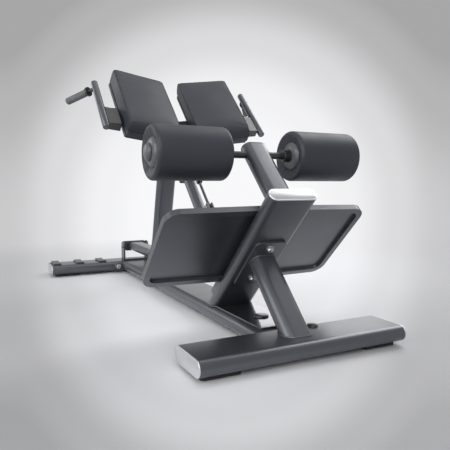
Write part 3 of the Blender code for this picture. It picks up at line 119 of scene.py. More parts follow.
def new_finish(name, colour, roughness, tones=None, gloss=None, grain=None, **plain):
    """A material whose colour and gloss drift a little and whose surface has a fine grain.

    Tones and gloss give the scale of their drift and the two values that it runs between.
    Grain gives the scale and the detail of its noise, then its strength and its height.
    """
    made = bpy.data.materials.new(name)
    made.use_nodes = True
    tree, shader, place = open_finish(made)
    shader.inputs["Base Color"].default_value = (*colour, 1.0)
    shader.inputs["Roughness"].default_value = roughness
    for socket, value in plain.items():
        shader.inputs[socket.replace("_", " ")].default_value = value
    if tones:
        mottle(tree, shader, place, *tones)
    if gloss:
        vary_gloss(tree, shader, place, *gloss)
    if grain:
        scale, detail, strength, distance = grain
        fine_noise = add_node(tree, "ShaderNodeTexNoise",
                              {"Vector": place, "Scale": scale, "Detail": detail})
        raise_grain(tree, shader, fine_noise.outputs["Fac"], strength, distance)
    return made


paint = new_finish("satin_charcoal_paint", (0.104, 0.110, 0.127), 0.35,
                   tones=(3.0, (0.096, 0.102, 0.118), (0.112, 0.118, 0.136)),
                   gloss=(14.0, 0.32, 0.38), grain=(650.0, 2.0, 0.06, 0.0004),
                   Metallic=0.68, Coat_Weight=0.6, Coat_Roughness=0.26)


def new_tree(name, inputs):
    """A node tree that takes a geometry, named sizes and a finish, and gives a geometry."""
    made = bpy.data.node_groups.new(name, "GeometryNodeTree")
    made.interface.new_socket("Geometry", in_out="OUTPUT", socket_type="NodeSocketGeometry")
    made.interface.new_socket("Geometry", in_out="INPUT", socket_type="NodeSocketGeometry")
    for label, kind, value in inputs:
        socket = made.interface.new_socket(label, in_out="INPUT", socket_type="NodeSocket" + kind)
        if value is not None:
            socket.default_value = value
    made.interface.new_socket("Finish", in_out="INPUT", socket_type="NodeSocketMaterial")
    return made, made.nodes.new("NodeGroupInput").outputs


def close_tree(tree, entry, geometry):
    """Ends a tree with real geometry in the chosen finish."""
    real = add_node(tree, "GeometryNodeRealizeInstances", {"Geometry": geometry})
    dressed = add_node(tree, "GeometryNodeSetMaterial", {"Geometry": real.outputs["Geometry"],
                                                         "Material": entry["Finish"]})
    end = tree.nodes.new("NodeGroupOutput")
    tree.links.new(dressed.outputs["Geometry"], end.inputs["Geometry"])


def grow(tree, host, **inputs):
    """Runs a node tree on a mesh and returns the result as a plain mesh."""
    holder = bpy.data.objects.new(tree.name, host)
    scene.collection.objects.link(holder)
    step = holder.modifiers.new(tree.name, "NODES")
    step.node_group = tree
    for item in tree.interface.items_tree:
        if item.in_out == "INPUT" and item.name in inputs:
            step[item.identifier] = inputs[item.name]
    result = bpy.data.meshes.new_from_object(
        holder.evaluated_get(bpy.context.evaluated_depsgraph_get()))
    holder.modifiers.remove(step)
    bpy.data.objects.remove(holder)
    return result


def line_mesh(points, closed=False):
    """A mesh of points joined by edges, for a tree to follow."""
    made = bpy.data.meshes.new("line")
    edges = [(index, index + 1) for index in range(len(points) - 1)]
    if closed:
        edges.append((len(points) - 1, 0))
    made.from_pydata([tuple(point) for point in points], edges, [])
    return made


flat_oval_tube, entry = new_tree("flat_oval_tube", [
    ("Width", "Float", 0.1), ("Height", "Float", 0.04), ("Bend Radius", "Float", 0.0)])
centre_line = add_node(flat_oval_tube, "GeometryNodeMeshToCurve", {"Mesh": entry["Geometry"]})
bent = add_node(flat_oval_tube, "GeometryNodeFilletCurve",
                {"Curve": centre_line.outputs["Curve"], "Count": 16,
                 "Radius": entry["Bend Radius"]}, mode="POLY")
level = add_node(flat_oval_tube, "GeometryNodeSetCurveNormal", {"Curve": bent.outputs["Curve"]},
                 mode="Z_UP")
side_radius = work_out(flat_oval_tube, "MULTIPLY", entry["Height"], 0.4999)
section = add_node(flat_oval_tube, "GeometryNodeCurvePrimitiveQuadrilateral",
                   {"Width": entry["Width"], "Height": entry["Height"]})
rounded = add_node(flat_oval_tube, "GeometryNodeFilletCurve",
                   {"Curve": section.outputs["Curve"], "Count": 14, "Radius": side_radius},
                   mode="POLY")
skin = add_node(flat_oval_tube, "GeometryNodeCurveToMesh",
                {"Curve": level.outputs["Curve"], "Profile Curve": rounded.outputs["Curve"],
                 "Fill Caps": True})
close_tree(flat_oval_tube, entry, skin.outputs["Mesh"])


EDGE_ANGLE = math.radians(38.0)


def place_piece(name, mesh, finish, body, replaced=(), bevel=0.0, steps=2):
    """Puts a finished mesh in the scene, on its body, with rounded edges where asked."""
    made = bpy.data.objects.new(name, mesh)
    mesh.name = name
    scene.collection.objects.link(made)
    mesh.materials.clear()
    mesh.materials.append(finish)
    mesh.shade_smooth()
    if bevel:
        edge = made.modifiers.new("rounded_edges", "BEVEL")
        edge.width = bevel
        edge.segments = steps
        edge.limit_method = "ANGLE"
        edge.angle_limit = EDGE_ANGLE
        edge.harden_normals = True
    else:
        mesh.set_sharp_from_angle(angle=EDGE_ANGLE)
    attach(made, body)
    if replaced:
        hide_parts(*replaced)
    return made


SAME_PLACE = 0.00001


def tidy_mesh(mesh):
    """Merges a mesh's doubled points and turns its faces outwards."""
    shape = bmesh.new()
    shape.from_mesh(mesh)
    bmesh.ops.remove_doubles(shape, verts=shape.verts, dist=SAME_PLACE)
    bmesh.ops.recalc_face_normals(shape, faces=shape.faces)
    shape.to_mesh(mesh)
    shape.free()
    return mesh


def draw_tube(points, width, height, bend=0.0):
    """A flat-oval tube along points, closed at both ends."""
    return tidy_mesh(grow(flat_oval_tube, line_mesh(points), Width=width, Height=height,
                          **{"Bend Radius": bend, "Finish": paint}))


TUBE_MIDDLE_Z = 0.0345
TUBE_TOP_Z = 0.056
CROSS_TUBE_WIDTH = 0.150
CROSS_TUBE_HEIGHT = 0.043
REAR_TUBE_Y = -0.733
FRONT_TUBE_Y = 0.733
REAR_TUBE_HALF = 0.3017
FRONT_TUBE_HALF = 0.4082
CROSS_TUBES = (("rear", REAR_TUBE_Y, REAR_TUBE_HALF), ("front", FRONT_TUBE_Y, FRONT_TUBE_HALF))
for name, y, half in CROSS_TUBES:
    tube_ends = [(-half, y, TUBE_MIDDLE_Z), (half, y, TUBE_MIDDLE_Z)]
    place_piece(name + "_cross_tube", draw_tube(tube_ends, CROSS_TUBE_WIDTH, CROSS_TUBE_HEIGHT),
                paint, "frame", [name + "_base_tube"], bevel=0.0008)

# End caps: a satin silver plate closes each end of the cross tubes and the top of the post.
# It is cast with a rounded rim round a face that is pressed in a little, and is left bare.
silver = new_finish("satin_silver_cap", (0.78, 0.79, 0.81), 0.34,
                    tones=(30.0, (0.76, 0.77, 0.79), (0.80, 0.81, 0.83)),
                    gloss=(50.0, 0.32, 0.37), grain=(1500.0, 2.0, 0.05, 0.0001), Metallic=1.0)


def flat_oval(width, height, steps=20):
    """Outline of a flat-oval section."""
    radius = height / 2
    reach = width / 2 - radius
    points = []
    for side, start in ((1, -90.0), (-1, 90.0)):
        for step in range(steps + 1):
            angle = math.radians(start + 180.0 * step / steps)
            points.append((side * reach + radius * math.cos(angle), radius * math.sin(angle)))
    return points


def shape_mesh(shape):
    """The mesh of a finished shape."""
    made = bpy.data.meshes.new("shape")
    shape.to_mesh(made)
    shape.free()
    return made


def draw_plate(outline, thickness, matrix, pressed=0.0, border=0.0, slant=1.5):
    """A flat outline drawn out along local Z, its far face pressed in inside a border."""
    shape = bmesh.new()
    floor_ring = [shape.verts.new((x, y, 0.0)) for x, y in outline]
    base = shape.faces.new(floor_ring[::-1])
    raised = bmesh.ops.extrude_face_region(shape, geom=[base])["geom"]
    top_points = [item for item in raised if isinstance(item, bmesh.types.BMVert)]
    top_face = [item for item in raised if isinstance(item, bmesh.types.BMFace)]
    bmesh.ops.translate(shape, verts=top_points, vec=(0.0, 0.0, thickness))
    if pressed:
        bmesh.ops.inset_region(shape, faces=top_face, thickness=border)
        bmesh.ops.inset_region(shape, faces=top_face, thickness=pressed * slant, depth=-pressed)
    bmesh.ops.recalc_face_normals(shape, faces=shape.faces)
    shape.transform(matrix)
    return shape_mesh(shape)


def towards(point, direction, level_axis):
    """A frame whose local Z runs in a direction and whose local X runs along a level axis."""
    z_axis = Vector(direction).normalized()
    x_axis = Vector(level_axis).normalized()
    y_axis = z_axis.cross(x_axis)
    turn = Matrix((x_axis, y_axis, z_axis)).transposed().to_4x4()
    return Matrix.Translation(point) @ turn


CAP_GAP = 0.0003
CAP_THICKNESS = 0.004
CAP_BORDER = 0.004
CAP_PRESSED = 0.0005


def draw_cap(width, height, matrix):
    """A plate that closes a tube whose mouth is at local Z = 0, just clear of it."""
    return draw_plate(flat_oval(width, height), CAP_THICKNESS,
                      matrix @ Matrix.Translation((0.0, 0.0, CAP_GAP)), CAP_PRESSED, CAP_BORDER)


def place_cap(name, width, height, matrix):
    """A satin silver end cap in the mouth of a tube."""
    place_piece(name + "_satin", draw_cap(width, height, matrix), silver, "frame",
                [name], bevel=0.0016, steps=3)


for name, y, half in CROSS_TUBES:
    for side, sign in (("left", -1), ("right", 1)):
        place_cap("end_cap_" + name + "_" + side, CROSS_TUBE_WIDTH, CROSS_TUBE_HEIGHT,
                  towards((sign * half, y, TUBE_MIDDLE_Z), (sign, 0, 0), (0, 1, 0)))

# Feet: four moulded rubber pads under the cross tubes keep the bench off the floor.
# Each is a flat slab with soft corners, and its underside is ribbed so that it grips.
rubber = new_finish("matt_rubber", (0.018, 0.018, 0.020), 0.78,
                    tones=(22.0, (0.015, 0.015, 0.017), (0.027, 0.027, 0.029)),
                    gloss=(35.0, 0.68, 0.86), grain=(900.0, 3.0, 0.25, 0.0004))


def round_rectangle(width, height, radius, steps=8):
    """Outline of a rectangle with round corners."""
    points = []
    for x_side, y_side, start in ((1, 1, 0.0), (-1, 1, 90.0), (-1, -1, 180.0), (1, -1, 270.0)):
        for step in range(steps + 1):
            angle = math.radians(start + 90.0 * step / steps)
            points.append((x_side * (width / 2 - radius) + radius * math.cos(angle),
                           y_side * (height / 2 - radius) + radius * math.sin(angle)))
    return points


def join_meshes(meshes):
    """Several meshes as one."""
    shape = bmesh.new()
    for part in meshes:
        shape.from_mesh(part)
    return shape_mesh(shape)


FOOT_WIDTH = 0.105
FOOT_DEPTH = 0.100
FOOT_SLAB = 0.0114
SLAB_Z = 0.0014
FOOT_RIB_COUNT = 8
FOOT_RIB_PITCH = 0.0122
FOOT_RIB_WIDTH = 0.006
FOOT_RIB_DEPTH = 0.090
FOOT_RIB_HEIGHT = 0.0020
REAR_FOOT_X = 0.238
FRONT_FOOT_X = 0.3375
for name, y, foot_x in (("rear", REAR_TUBE_Y, REAR_FOOT_X), ("front", FRONT_TUBE_Y, FRONT_FOOT_X)):
    for side, sign in (("left", -1), ("right", 1)):
        x = sign * foot_x
        slab = draw_plate(round_rectangle(FOOT_WIDTH, FOOT_DEPTH, 0.010), FOOT_SLAB,
                          Matrix.Translation((x, y, SLAB_Z)))
        first_rib_x = x - (FOOT_RIB_COUNT - 1) / 2 * FOOT_RIB_PITCH
        ribs = [draw_plate(round_rectangle(FOOT_RIB_WIDTH, FOOT_RIB_DEPTH, 0.002, 3),
                           FOOT_RIB_HEIGHT,
                           Matrix.Translation((first_rib_x + rib * FOOT_RIB_PITCH, y, 0.0)))
                for rib in range(FOOT_RIB_COUNT)]
        foot = "foot_" + name + "_" + side
        place_piece(foot + "_moulded", join_meshes([slab] + ribs), rubber, "frame",
                    [foot], bevel=0.0007)

# Anti-slip blocks: three low plastic bars on each half of the front cross tube, to step on.
# Each is moulded with fine grooves across its smooth top, and is stuck down on the tube.
RIDGE_COUNT = 5
RIDGE_SHARE = 0.72
RIDGE_HEIGHT = 0.0016
RIDGE_MIDDLE = 0.0037
blocks_tree, entry = new_tree("anti_slip_blocks", [
    ("Size", "Vector", (0.034, 0.104, 0.008)), ("Groove Pitch", "Float", 0.006)])
size = add_node(blocks_tree, "ShaderNodeSeparateXYZ", {"Vector": entry["Size"]})
ridge_size = add_node(blocks_tree, "ShaderNodeCombineXYZ",
                      {"X": work_out(blocks_tree, "MULTIPLY", entry["Groove Pitch"], RIDGE_SHARE),
                       "Y": size.outputs["Y"], "Z": RIDGE_HEIGHT})
ridge = add_node(blocks_tree, "GeometryNodeMeshCube", {"Size": ridge_size.outputs["Vector"]})
body_size = add_node(blocks_tree, "ShaderNodeVectorMath", {0: entry["Size"], 1: (0.0, 0.0, 0.001)},
                     operation="SUBTRACT")
body = add_node(blocks_tree, "GeometryNodeMeshCube", {"Size": body_size.outputs["Vector"]})
step_along = add_node(blocks_tree, "ShaderNodeCombineXYZ", {"X": entry["Groove Pitch"]})
first_ridge = add_node(blocks_tree, "ShaderNodeCombineXYZ",
                       {"X": work_out(blocks_tree, "MULTIPLY", entry["Groove Pitch"],
                                      -(RIDGE_COUNT - 1) / 2), "Z": RIDGE_MIDDLE})
ridge_line = add_node(blocks_tree, "GeometryNodeMeshLine",
                      {"Count": RIDGE_COUNT, "Start Location": first_ridge.outputs["Vector"],
                       "Offset": step_along.outputs["Vector"]})
ridges = add_node(blocks_tree, "GeometryNodeInstanceOnPoints",
                  {"Points": ridge_line.outputs["Mesh"], "Instance": ridge.outputs["Mesh"]})
one_block = add_node(blocks_tree, "GeometryNodeJoinGeometry")
for part in (ridges.outputs["Instances"], body.outputs["Mesh"]):
    blocks_tree.links.new(part, one_block.inputs["Geometry"])
block_row = add_node(blocks_tree, "GeometryNodeInstanceOnPoints",
                     {"Points": entry["Geometry"], "Instance": one_block.outputs["Geometry"]})
close_tree(blocks_tree, entry, block_row.outputs["Instances"])
moulded = new_finish("moulded_black_plastic", (0.025, 0.025, 0.028), 0.32,
                     tones=(28.0, (0.021, 0.021, 0.024), (0.031, 0.031, 0.034)),
                     gloss=(80.0, 0.28, 0.38), Coat_Weight=0.5, Coat_Roughness=0.18)
tree, shader, place = open_finish(moulded)
mould_grain = add_node(tree, "ShaderNodeTexVoronoi", {"Vector": place, "Scale": 900.0})
raise_grain(tree, shader, mould_grain.outputs["Distance"], 0.10, 0.0002)
FIRST_BLOCK_X = 0.170
BLOCK_PITCH = 0.107
BLOCK_MIDDLE = 0.0035
block_places = bpy.data.meshes.new("block_places")
block_places.from_pydata([(sign * (FIRST_BLOCK_X + number * BLOCK_PITCH), FRONT_TUBE_Y,
                           TUBE_TOP_Z + BLOCK_MIDDLE)
                          for sign in (-1, 1) for number in range(3)], [], [])
place_piece("anti_slip_blocks", grow(blocks_tree, block_places, Finish=moulded), moulded,
            "frame", bevel=0.0006)

# Floor rail: a wide flat-oval tube joins the two cross tubes along the middle of the bench.
# It is welded into the rear tube, and bolted to two round bosses on the front one.
RAIL_WIDTH = 0.160
TUBE_FLAT_EDGE = CROSS_TUBE_WIDTH / 2 - CROSS_TUBE_HEIGHT / 2
rail_ends = [(0.0, REAR_TUBE_Y + TUBE_FLAT_EDGE, TUBE_MIDDLE_Z),
             (0.0, FRONT_TUBE_Y - TUBE_FLAT_EDGE, TUBE_MIDDLE_Z)]
place_piece("floor_rail_painted", draw_tube(rail_ends, RAIL_WIDTH, CROSS_TUBE_HEIGHT), paint,
            "frame", ["floor_rail"])

# Rail joint: two round bosses on the front cross tube meet the rail, one on each side of it.
# A plated hexagon bolt goes into each boss, its head forged with its corners turned off.
# Heads and washers are placed by a node tree, which turns each to face the way it is given.
plated = new_finish("plated_steel", (0.62, 0.63, 0.65), 0.30,
                    tones=(90.0, (0.50, 0.51, 0.53), (0.70, 0.71, 0.72)),
                    gloss=(160.0, 0.22, 0.40), grain=(1400.0, 2.0, 0.15, 0.0001), Metallic=1.0)


def turn_profile(profile, matrix, closed=False):
    """A profile of (radius, height) points turned round local Z."""
    shape = bmesh.new()
    points = [shape.verts.new((radius, 0.0, height)) for radius, height in profile]
    pairs = list(zip(points, points[1:])) + ([(points[-1], points[0])] if closed else [])
    edges = [shape.edges.new(pair) for pair in pairs]
    bmesh.ops.spin(shape, geom=points + edges, cent=(0, 0, 0), axis=(0, 0, 1),
                   angle=2 * math.pi, steps=48, use_merge=True)
    bmesh.ops.remove_doubles(shape, verts=shape.verts, dist=SAME_PLACE / 2)
    bmesh.ops.recalc_face_normals(shape, faces=shape.faces)
    shape.transform(matrix)
    return shape_mesh(shape)


def join_rings(shape, rings):
    """Faces between each ring of points and the next, which has as many points."""
    for first, second in zip(rings, rings[1:]):
        for index in range(len(first)):
            following = (index + 1) % len(first)
            shape.faces.new((first[index], first[following], second[following], second[index]))


HEAD_CROWN = 0.0012
HEAD_POINTS = 36


def hex_head(across, height):
    """A hexagon head on local Z = 0, its top corners turned off to a flat round face."""
    shape = bmesh.new()
    foot, shoulder, face = [], [], []
    half = across / 2
    for step in range(HEAD_POINTS):
        degrees = step * 360.0 / HEAD_POINTS
        x, y = math.cos(math.radians(degrees)), math.sin(math.radians(degrees))
        side = half / math.cos(math.radians(degrees % 60.0 - 30.0))
        turned_off = height - HEAD_CROWN - (side - half) * 0.4
        foot.append(shape.verts.new((side * x, side * y, 0.0)))
        shoulder.append(shape.verts.new((side * x, side * y, turned_off)))
        face.append(shape.verts.new((half * 0.93 * x, half * 0.93 * y, height)))
    join_rings(shape, [foot, shoulder, face])
    shape.faces.new(foot[::-1])
    shape.faces.new(face)
    return shape_mesh(shape)


fastener_tree, entry = new_tree("fasteners", [("Washer Diameter", "Float", 0.0245),
                                              ("Washer Thickness", "Float", 0.0022),
                                              ("Head", "Object", None)])
head_shape = add_node(fastener_tree, "GeometryNodeObjectInfo", {"Object": entry["Head"]})
lifted_head = add_node(fastener_tree, "GeometryNodeTransform", {
    "Geometry": head_shape.outputs["Geometry"],
    "Translation": add_node(fastener_tree, "ShaderNodeCombineXYZ",
                            {"Z": entry["Washer Thickness"]}).outputs["Vector"]})
washer = add_node(fastener_tree, "GeometryNodeMeshCylinder",
                  {"Vertices": 40, "Depth": entry["Washer Thickness"],
                   "Radius": work_out(fastener_tree, "MULTIPLY", entry["Washer Diameter"], 0.5)})
half_washer = work_out(fastener_tree, "MULTIPLY", entry["Washer Thickness"], 0.5)
lifted_washer = add_node(fastener_tree, "GeometryNodeTransform", {
    "Geometry": washer.outputs["Mesh"],
    "Translation": add_node(fastener_tree, "ShaderNodeCombineXYZ",
                            {"Z": half_washer}).outputs["Vector"]})
whole_fastener = add_node(fastener_tree, "GeometryNodeJoinGeometry")
for part in (lifted_head.outputs["Geometry"], lifted_washer.outputs["Geometry"]):
    fastener_tree.links.new(part, whole_fastener.inputs["Geometry"])
facing = add_node(fastener_tree, "GeometryNodeInputNamedAttribute", {"Name": "facing"},
                  data_type="FLOAT_VECTOR")
aimed = add_node(fastener_tree, "FunctionNodeAlignRotationToVector",
                 {"Vector": facing.outputs["Attribute"]}, axis="Z")
fastened = add_node(fastener_tree, "GeometryNodeInstanceOnPoints",
                    {"Points": entry["Geometry"], "Instance": whole_fastener.outputs["Geometry"],
                     "Rotation": aimed.outputs["Rotation"]})
close_tree(fastener_tree, entry, fastened.outputs["Instances"])


def place_fasteners(name, head, places, replaced, washer=0.0245, thickness=0.0022):
    """Heads with washers at places, each given as a point and the way that it faces."""
    host = bpy.data.meshes.new(name)
    host.from_pydata([tuple(point) for point, direction in places], [], [])
    host.attributes.new("facing", "FLOAT_VECTOR", "POINT")
    for index, (point, direction) in enumerate(places):
        host.attributes["facing"].data[index].vector = direction
    head_object = bpy.data.objects.new("head", head)
    scene.collection.objects.link(head_object)
    made = grow(fastener_tree, host, Head=head_object, Finish=plated,
                **{"Washer Diameter": washer, "Washer Thickness": thickness})
    bpy.data.objects.remove(head_object)
    for attribute in [item for item in made.attributes if item.name == "facing"]:
        made.attributes.remove(attribute)
    place_piece(name, made, plated, "frame", replaced, bevel=0.0003)


FRAME_BOLT_ACROSS = 0.0178
BOSS_REACH = 0.010
BOSS_X = 0.100
BOSS_PROFILE = [(0.0, 0.0), (0.0165, 0.0), (0.018, 0.0015), (0.018, 0.020), (0.0, 0.020)]
boss_face_y = FRONT_TUBE_Y - CROSS_TUBE_WIDTH / 2 - BOSS_REACH
boss_places = [(sign * BOSS_X, boss_face_y, TUBE_MIDDLE_Z) for sign in (-1, 1)]
bosses = [turn_profile(BOSS_PROFILE, towards(point, (0, 1, 0), (1, 0, 0)))
          for point in boss_places]
place_piece("rail_joint_bosses", join_meshes(bosses), paint, "frame")
place_fasteners("rail_joint_bolts", hex_head(FRAME_BOLT_ACROSS, 0.0058),
                [(point, (0, -1, 0)) for point in boss_places],
                ["rail_bolt_left", "rail_bolt_right"], washer=0.0235, thickness=0.0018)

# Cover plate: a thin plate on the rail hides the weld seams between the strut and the post.
# It is lacquered in gloss charcoal, and a round black plug closes the hole in its middle.
lacquer = new_finish("gloss_charcoal_lacquer", (0.080, 0.083, 0.091), 0.18,
                     tones=(5.0, (0.074, 0.077, 0.085), (0.087, 0.090, 0.099)),
                     gloss=(9.0, 0.15, 0.22), grain=(40.0, 2.0, 0.03, 0.001),
                     Metallic=0.7, Coat_Weight=1.0, Coat_Roughness=0.05)
low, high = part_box("rail_cover_plate")
plate_middle = (low + high) / 2
place_piece("rail_cover_plate_lacquered",
            draw_plate(round_rectangle(high.x - low.x, high.y - low.y, 0.006), high.z - low.z,
                       Matrix.Translation((0.0, plate_middle.y, low.z))),
            lacquer, "frame", ["rail_cover_plate"], bevel=0.0009, steps=3)

COVER_PLUG = [(0.0, 0.0), (0.0215, 0.0), (0.0220, 0.0006), (0.0220, 0.0026), (0.0210, 0.0040),
              (0.0185, 0.0047), (0.0, 0.0050)]
low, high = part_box("rail_cover_disc")
place_piece("rail_cover_plug",
            turn_profile(COVER_PLUG, Matrix.Translation((0.0, (low.y + high.y) / 2, low.z))),
            moulded, "frame", ["rail_cover_disc"])

# Tube plug: a small black plug closes the drain hole in the top of the rear cross tube.
# It is moulded in the same plastic as the larger plug, and is pressed in by hand.
TUBE_PLUG = [(0.0, -0.002), (0.0150, -0.002), (0.0150, 0.0026), (0.0140, 0.0040),
             (0.0120, 0.0046), (0.0, 0.0049)]
TUBE_PLUG_X = 0.084
TUBE_PLUG_AHEAD = 0.048
place_piece("tube_plug",
            turn_profile(TUBE_PLUG, Matrix.Translation((TUBE_PLUG_X, REAR_TUBE_Y + TUBE_PLUG_AHEAD,
                                                        TUBE_TOP_Z))),
            moulded, "frame")


# Post and strut: a flat-oval tube leans back at 45 degrees, cut level and welded to the rail.
# The strut behind it runs up from the rear cross tube to a plate bolted through the post.
SLOPE = math.sqrt(0.5)
POST_FOOT_Y = -0.296


def on_slope(along, up, x=0.0):
    """A point from its place along the beam and up the post, both from the post's foot."""
    return Vector((x, POST_FOOT_Y + (along - up) * SLOPE, (along + up) * SLOPE))


ALONG_BEAM = Vector((0.0, SLOPE, SLOPE))
UP_POST = Vector((0.0, -SLOPE, SLOPE))


def beam_frame(along, up, x=0.0):
    """Local Z runs up the beam, local X stays level and local Y points away from the user."""
    return towards(on_slope(along, up, x), ALONG_BEAM, (1, 0, 0))


def cut_below(mesh, point, normal):
    """Takes away what lies behind a plane, and closes the cut."""
    shape = bmesh.new()
    shape.from_mesh(mesh)
    everything = list(shape.verts) + list(shape.edges) + list(shape.faces)
    cut = bmesh.ops.bisect_plane(shape, geom=everything, plane_co=point, plane_no=normal,
                                 clear_inner=True)["geom_cut"]
    edges = [item for item in cut if isinstance(item, bmesh.types.BMEdge)]
    bmesh.ops.edgeloop_fill(shape, edges=edges)
    bmesh.ops.recalc_face_normals(shape, faces=shape.faces)
    shape.to_mesh(mesh)
    shape.free()
    return mesh


POST_WIDTH = 0.145
POST_THICKNESS = 0.040
POST_TUBE_LENGTH = 0.5817
CUT_ABOVE_TUBE = 0.0003
tube_top = (0.0, 0.0, TUBE_TOP_Z + CUT_ABOVE_TUBE)
post = draw_tube([on_slope(0.0, 0.0), on_slope(0.0, POST_TUBE_LENGTH)], POST_WIDTH, POST_THICKNESS)
cut_below(post, tube_top, (0, 0, 1))
place_piece("post_painted", post, paint, "frame", ["post"], bevel=0.0007)
place_cap("end_cap_post", POST_WIDTH, POST_THICKNESS,
          towards(on_slope(0.0, POST_TUBE_LENGTH), UP_POST, (1, 0, 0)))

STRUT_WIDTH = 0.081
STRUT_THICKNESS = 0.050
STRUT_UP_POST = 0.3415
PLATE_WIDTH = 0.100
PLATE_LENGTH = 0.196
PLATE_THICKNESS = 0.008
PLATE_CORNER = 0.014
PLATE_UP_POST = 0.324
PLATE_REAR = -0.0283
strut = draw_tube([on_slope(-STRUT_UP_POST, STRUT_UP_POST),
                   on_slope(PLATE_REAR + 0.001, STRUT_UP_POST)], STRUT_WIDTH, STRUT_THICKNESS)
cut_below(strut, tube_top, (0, 0, 1))
place_piece("strut_painted", strut, paint, "frame", ["strut"], bevel=0.0006)
strut_plate = draw_plate(round_rectangle(PLATE_WIDTH, PLATE_LENGTH, PLATE_CORNER),
                         PLATE_THICKNESS, beam_frame(PLATE_REAR, PLATE_UP_POST))
place_piece("strut_plate", strut_plate, paint, "frame", bevel=0.0010, steps=3)
BOLTS_MIDDLE = PLATE_UP_POST + 0.006
BOLTS_APART = 0.138
place_fasteners("plate_bolts", hex_head(FRAME_BOLT_ACROSS, 0.0075),
                [(on_slope(PLATE_REAR, BOLTS_MIDDLE + half * BOLTS_APART), -ALONG_BEAM)
                 for half in (-0.5, 0.5)], ["plate_bolt_lower", "plate_bolt_upper"])

# Welds: a thin bead runs round the foot of the post and round both ends of the strut.
# It is laid in short overlapping ripples, and is painted over with the rest.
bead_tree, entry = new_tree("weld_bead", [("Radius", "Float", 0.0022), ("Ripple", "Float", 0.0024),
                                          ("Valley", "Float", 0.82), ("Sides", "Int", 8),
                                          ("Steps", "Float", 0.25)])
bead_line = add_node(bead_tree, "GeometryNodeMeshToCurve", {"Mesh": entry["Geometry"]})
fine_step = work_out(bead_tree, "MULTIPLY", entry["Ripple"], entry["Steps"])
fine_line = add_node(bead_tree, "GeometryNodeResampleCurve",
                     {"Curve": bead_line.outputs["Curve"], "Length": fine_step}, mode="LENGTH")
laid = add_node(bead_tree, "GeometryNodeSplineParameter")
ripple_phase = work_out(bead_tree, "DIVIDE", laid.outputs["Length"], entry["Ripple"])
ripple_wave = work_out(bead_tree, "SINE",
                       work_out(bead_tree, "MULTIPLY", ripple_phase, 2 * math.pi))
ripple_size = add_node(bead_tree, "ShaderNodeMapRange",
                       {"Value": ripple_wave, "From Min": -1.0, "From Max": 1.0,
                        "To Min": entry["Valley"], "To Max": 1.0})
bead_scale = work_out(bead_tree, "MULTIPLY", ripple_size.outputs["Result"], entry["Radius"])
bead_section = add_node(bead_tree, "GeometryNodeCurvePrimitiveCircle",
                        {"Resolution": entry["Sides"], "Radius": 1.0}, mode="RADIUS")
bead_skin = add_node(bead_tree, "GeometryNodeCurveToMesh",
                     {"Curve": fine_line.outputs["Curve"],
                      "Profile Curve": bead_section.outputs["Curve"],
                      "Scale": bead_scale, "Fill Caps": True})
close_tree(bead_tree, entry, bead_skin.outputs["Mesh"])


def weld_round(name, width, height, tube_frame, point, normal):
    """A painted bead round a flat-oval tube, where the tube meets a plane."""
    along = tube_frame.col[2].to_3d()
    loop = []
    for x, y in flat_oval(width + 0.001, height + 0.001, 16):
        corner = tube_frame @ Vector((x, y, 0.0))
        travel = (Vector(point) - corner).dot(normal) / along.dot(normal)
        loop.append(corner + along * travel)
    bead = grow(bead_tree, line_mesh(loop, closed=True), Finish=paint)
    place_piece(name, bead, paint, "frame")


STRAIGHT_UP = Vector((0.0, 0.0, 1.0))
WELD_ABOVE_TUBE = 0.0005
weld_plane = (0.0, 0.0, TUBE_TOP_Z + WELD_ABOVE_TUBE)
weld_round("post_foot_weld", POST_WIDTH, POST_THICKNESS,
           towards(on_slope(0.0, 0.1), UP_POST, (1, 0, 0)), weld_plane, STRAIGHT_UP)
weld_round("strut_foot_weld", STRUT_WIDTH, STRUT_THICKNESS, beam_frame(-0.1, STRUT_UP_POST),
           weld_plane, STRAIGHT_UP)
weld_round("strut_head_weld", STRUT_WIDTH, STRUT_THICKNESS, beam_frame(-0.1, STRUT_UP_POST),
           on_slope(PLATE_REAR, 0.0), ALONG_BEAM)

# Footplate: a pressed tray across the post, with a raised rim and a shallow recess below.
# A ribbed rubber tread covers its upper face, and a spacer bracket fills the recess.
def solid_copy(node):
    """A merged copy of a CAD solid, its flat faces made whole again."""
    data = nodes[node].data
    triangles = bpy.data.meshes.new(node)
    triangles.from_pydata([point.co for point in data.vertices], [],
                          [tuple(face.vertices) for face in data.polygons])
    shape = bmesh.new()
    shape.from_mesh(triangles)
    bmesh.ops.remove_doubles(shape, verts=shape.verts, dist=SAME_PLACE)
    bmesh.ops.dissolve_limit(shape, angle_limit=math.radians(0.4), verts=shape.verts,
                             edges=shape.edges)
    return shape_mesh(shape)


def place_solid(name, node, finish, body="frame", bevel=0.0, steps=2):
    """Puts a merged copy of a CAD solid in the scene in place of that solid."""
    place_piece(name, solid_copy(node), finish, body, [node], bevel, steps)


CORNER_STEPS = 10


def round_corners(corners):
    """Outline through corners given as (x, y, radius), each rounded by an arc."""
    points = []
    for index, (x, y, radius) in enumerate(corners):
        here = Vector((x, y))
        before = (Vector(corners[index - 1][:2]) - here).normalized()
        after = (Vector(corners[(index + 1) % len(corners)][:2]) - here).normalized()
        half = before.angle(after) / 2
        centre = here + (before + after).normalized() * (radius / math.sin(half))
        start = here + before * (radius / math.tan(half)) - centre
        end = here + after * (radius / math.tan(half)) - centre
        turn = start.angle_signed(end)
        for step in range(CORNER_STEPS + 1):
            spoke = start.copy()
            spoke.rotate(Matrix.Rotation(-turn * step / CORNER_STEPS, 2))
            points.append(tuple(centre + spoke))
    return points


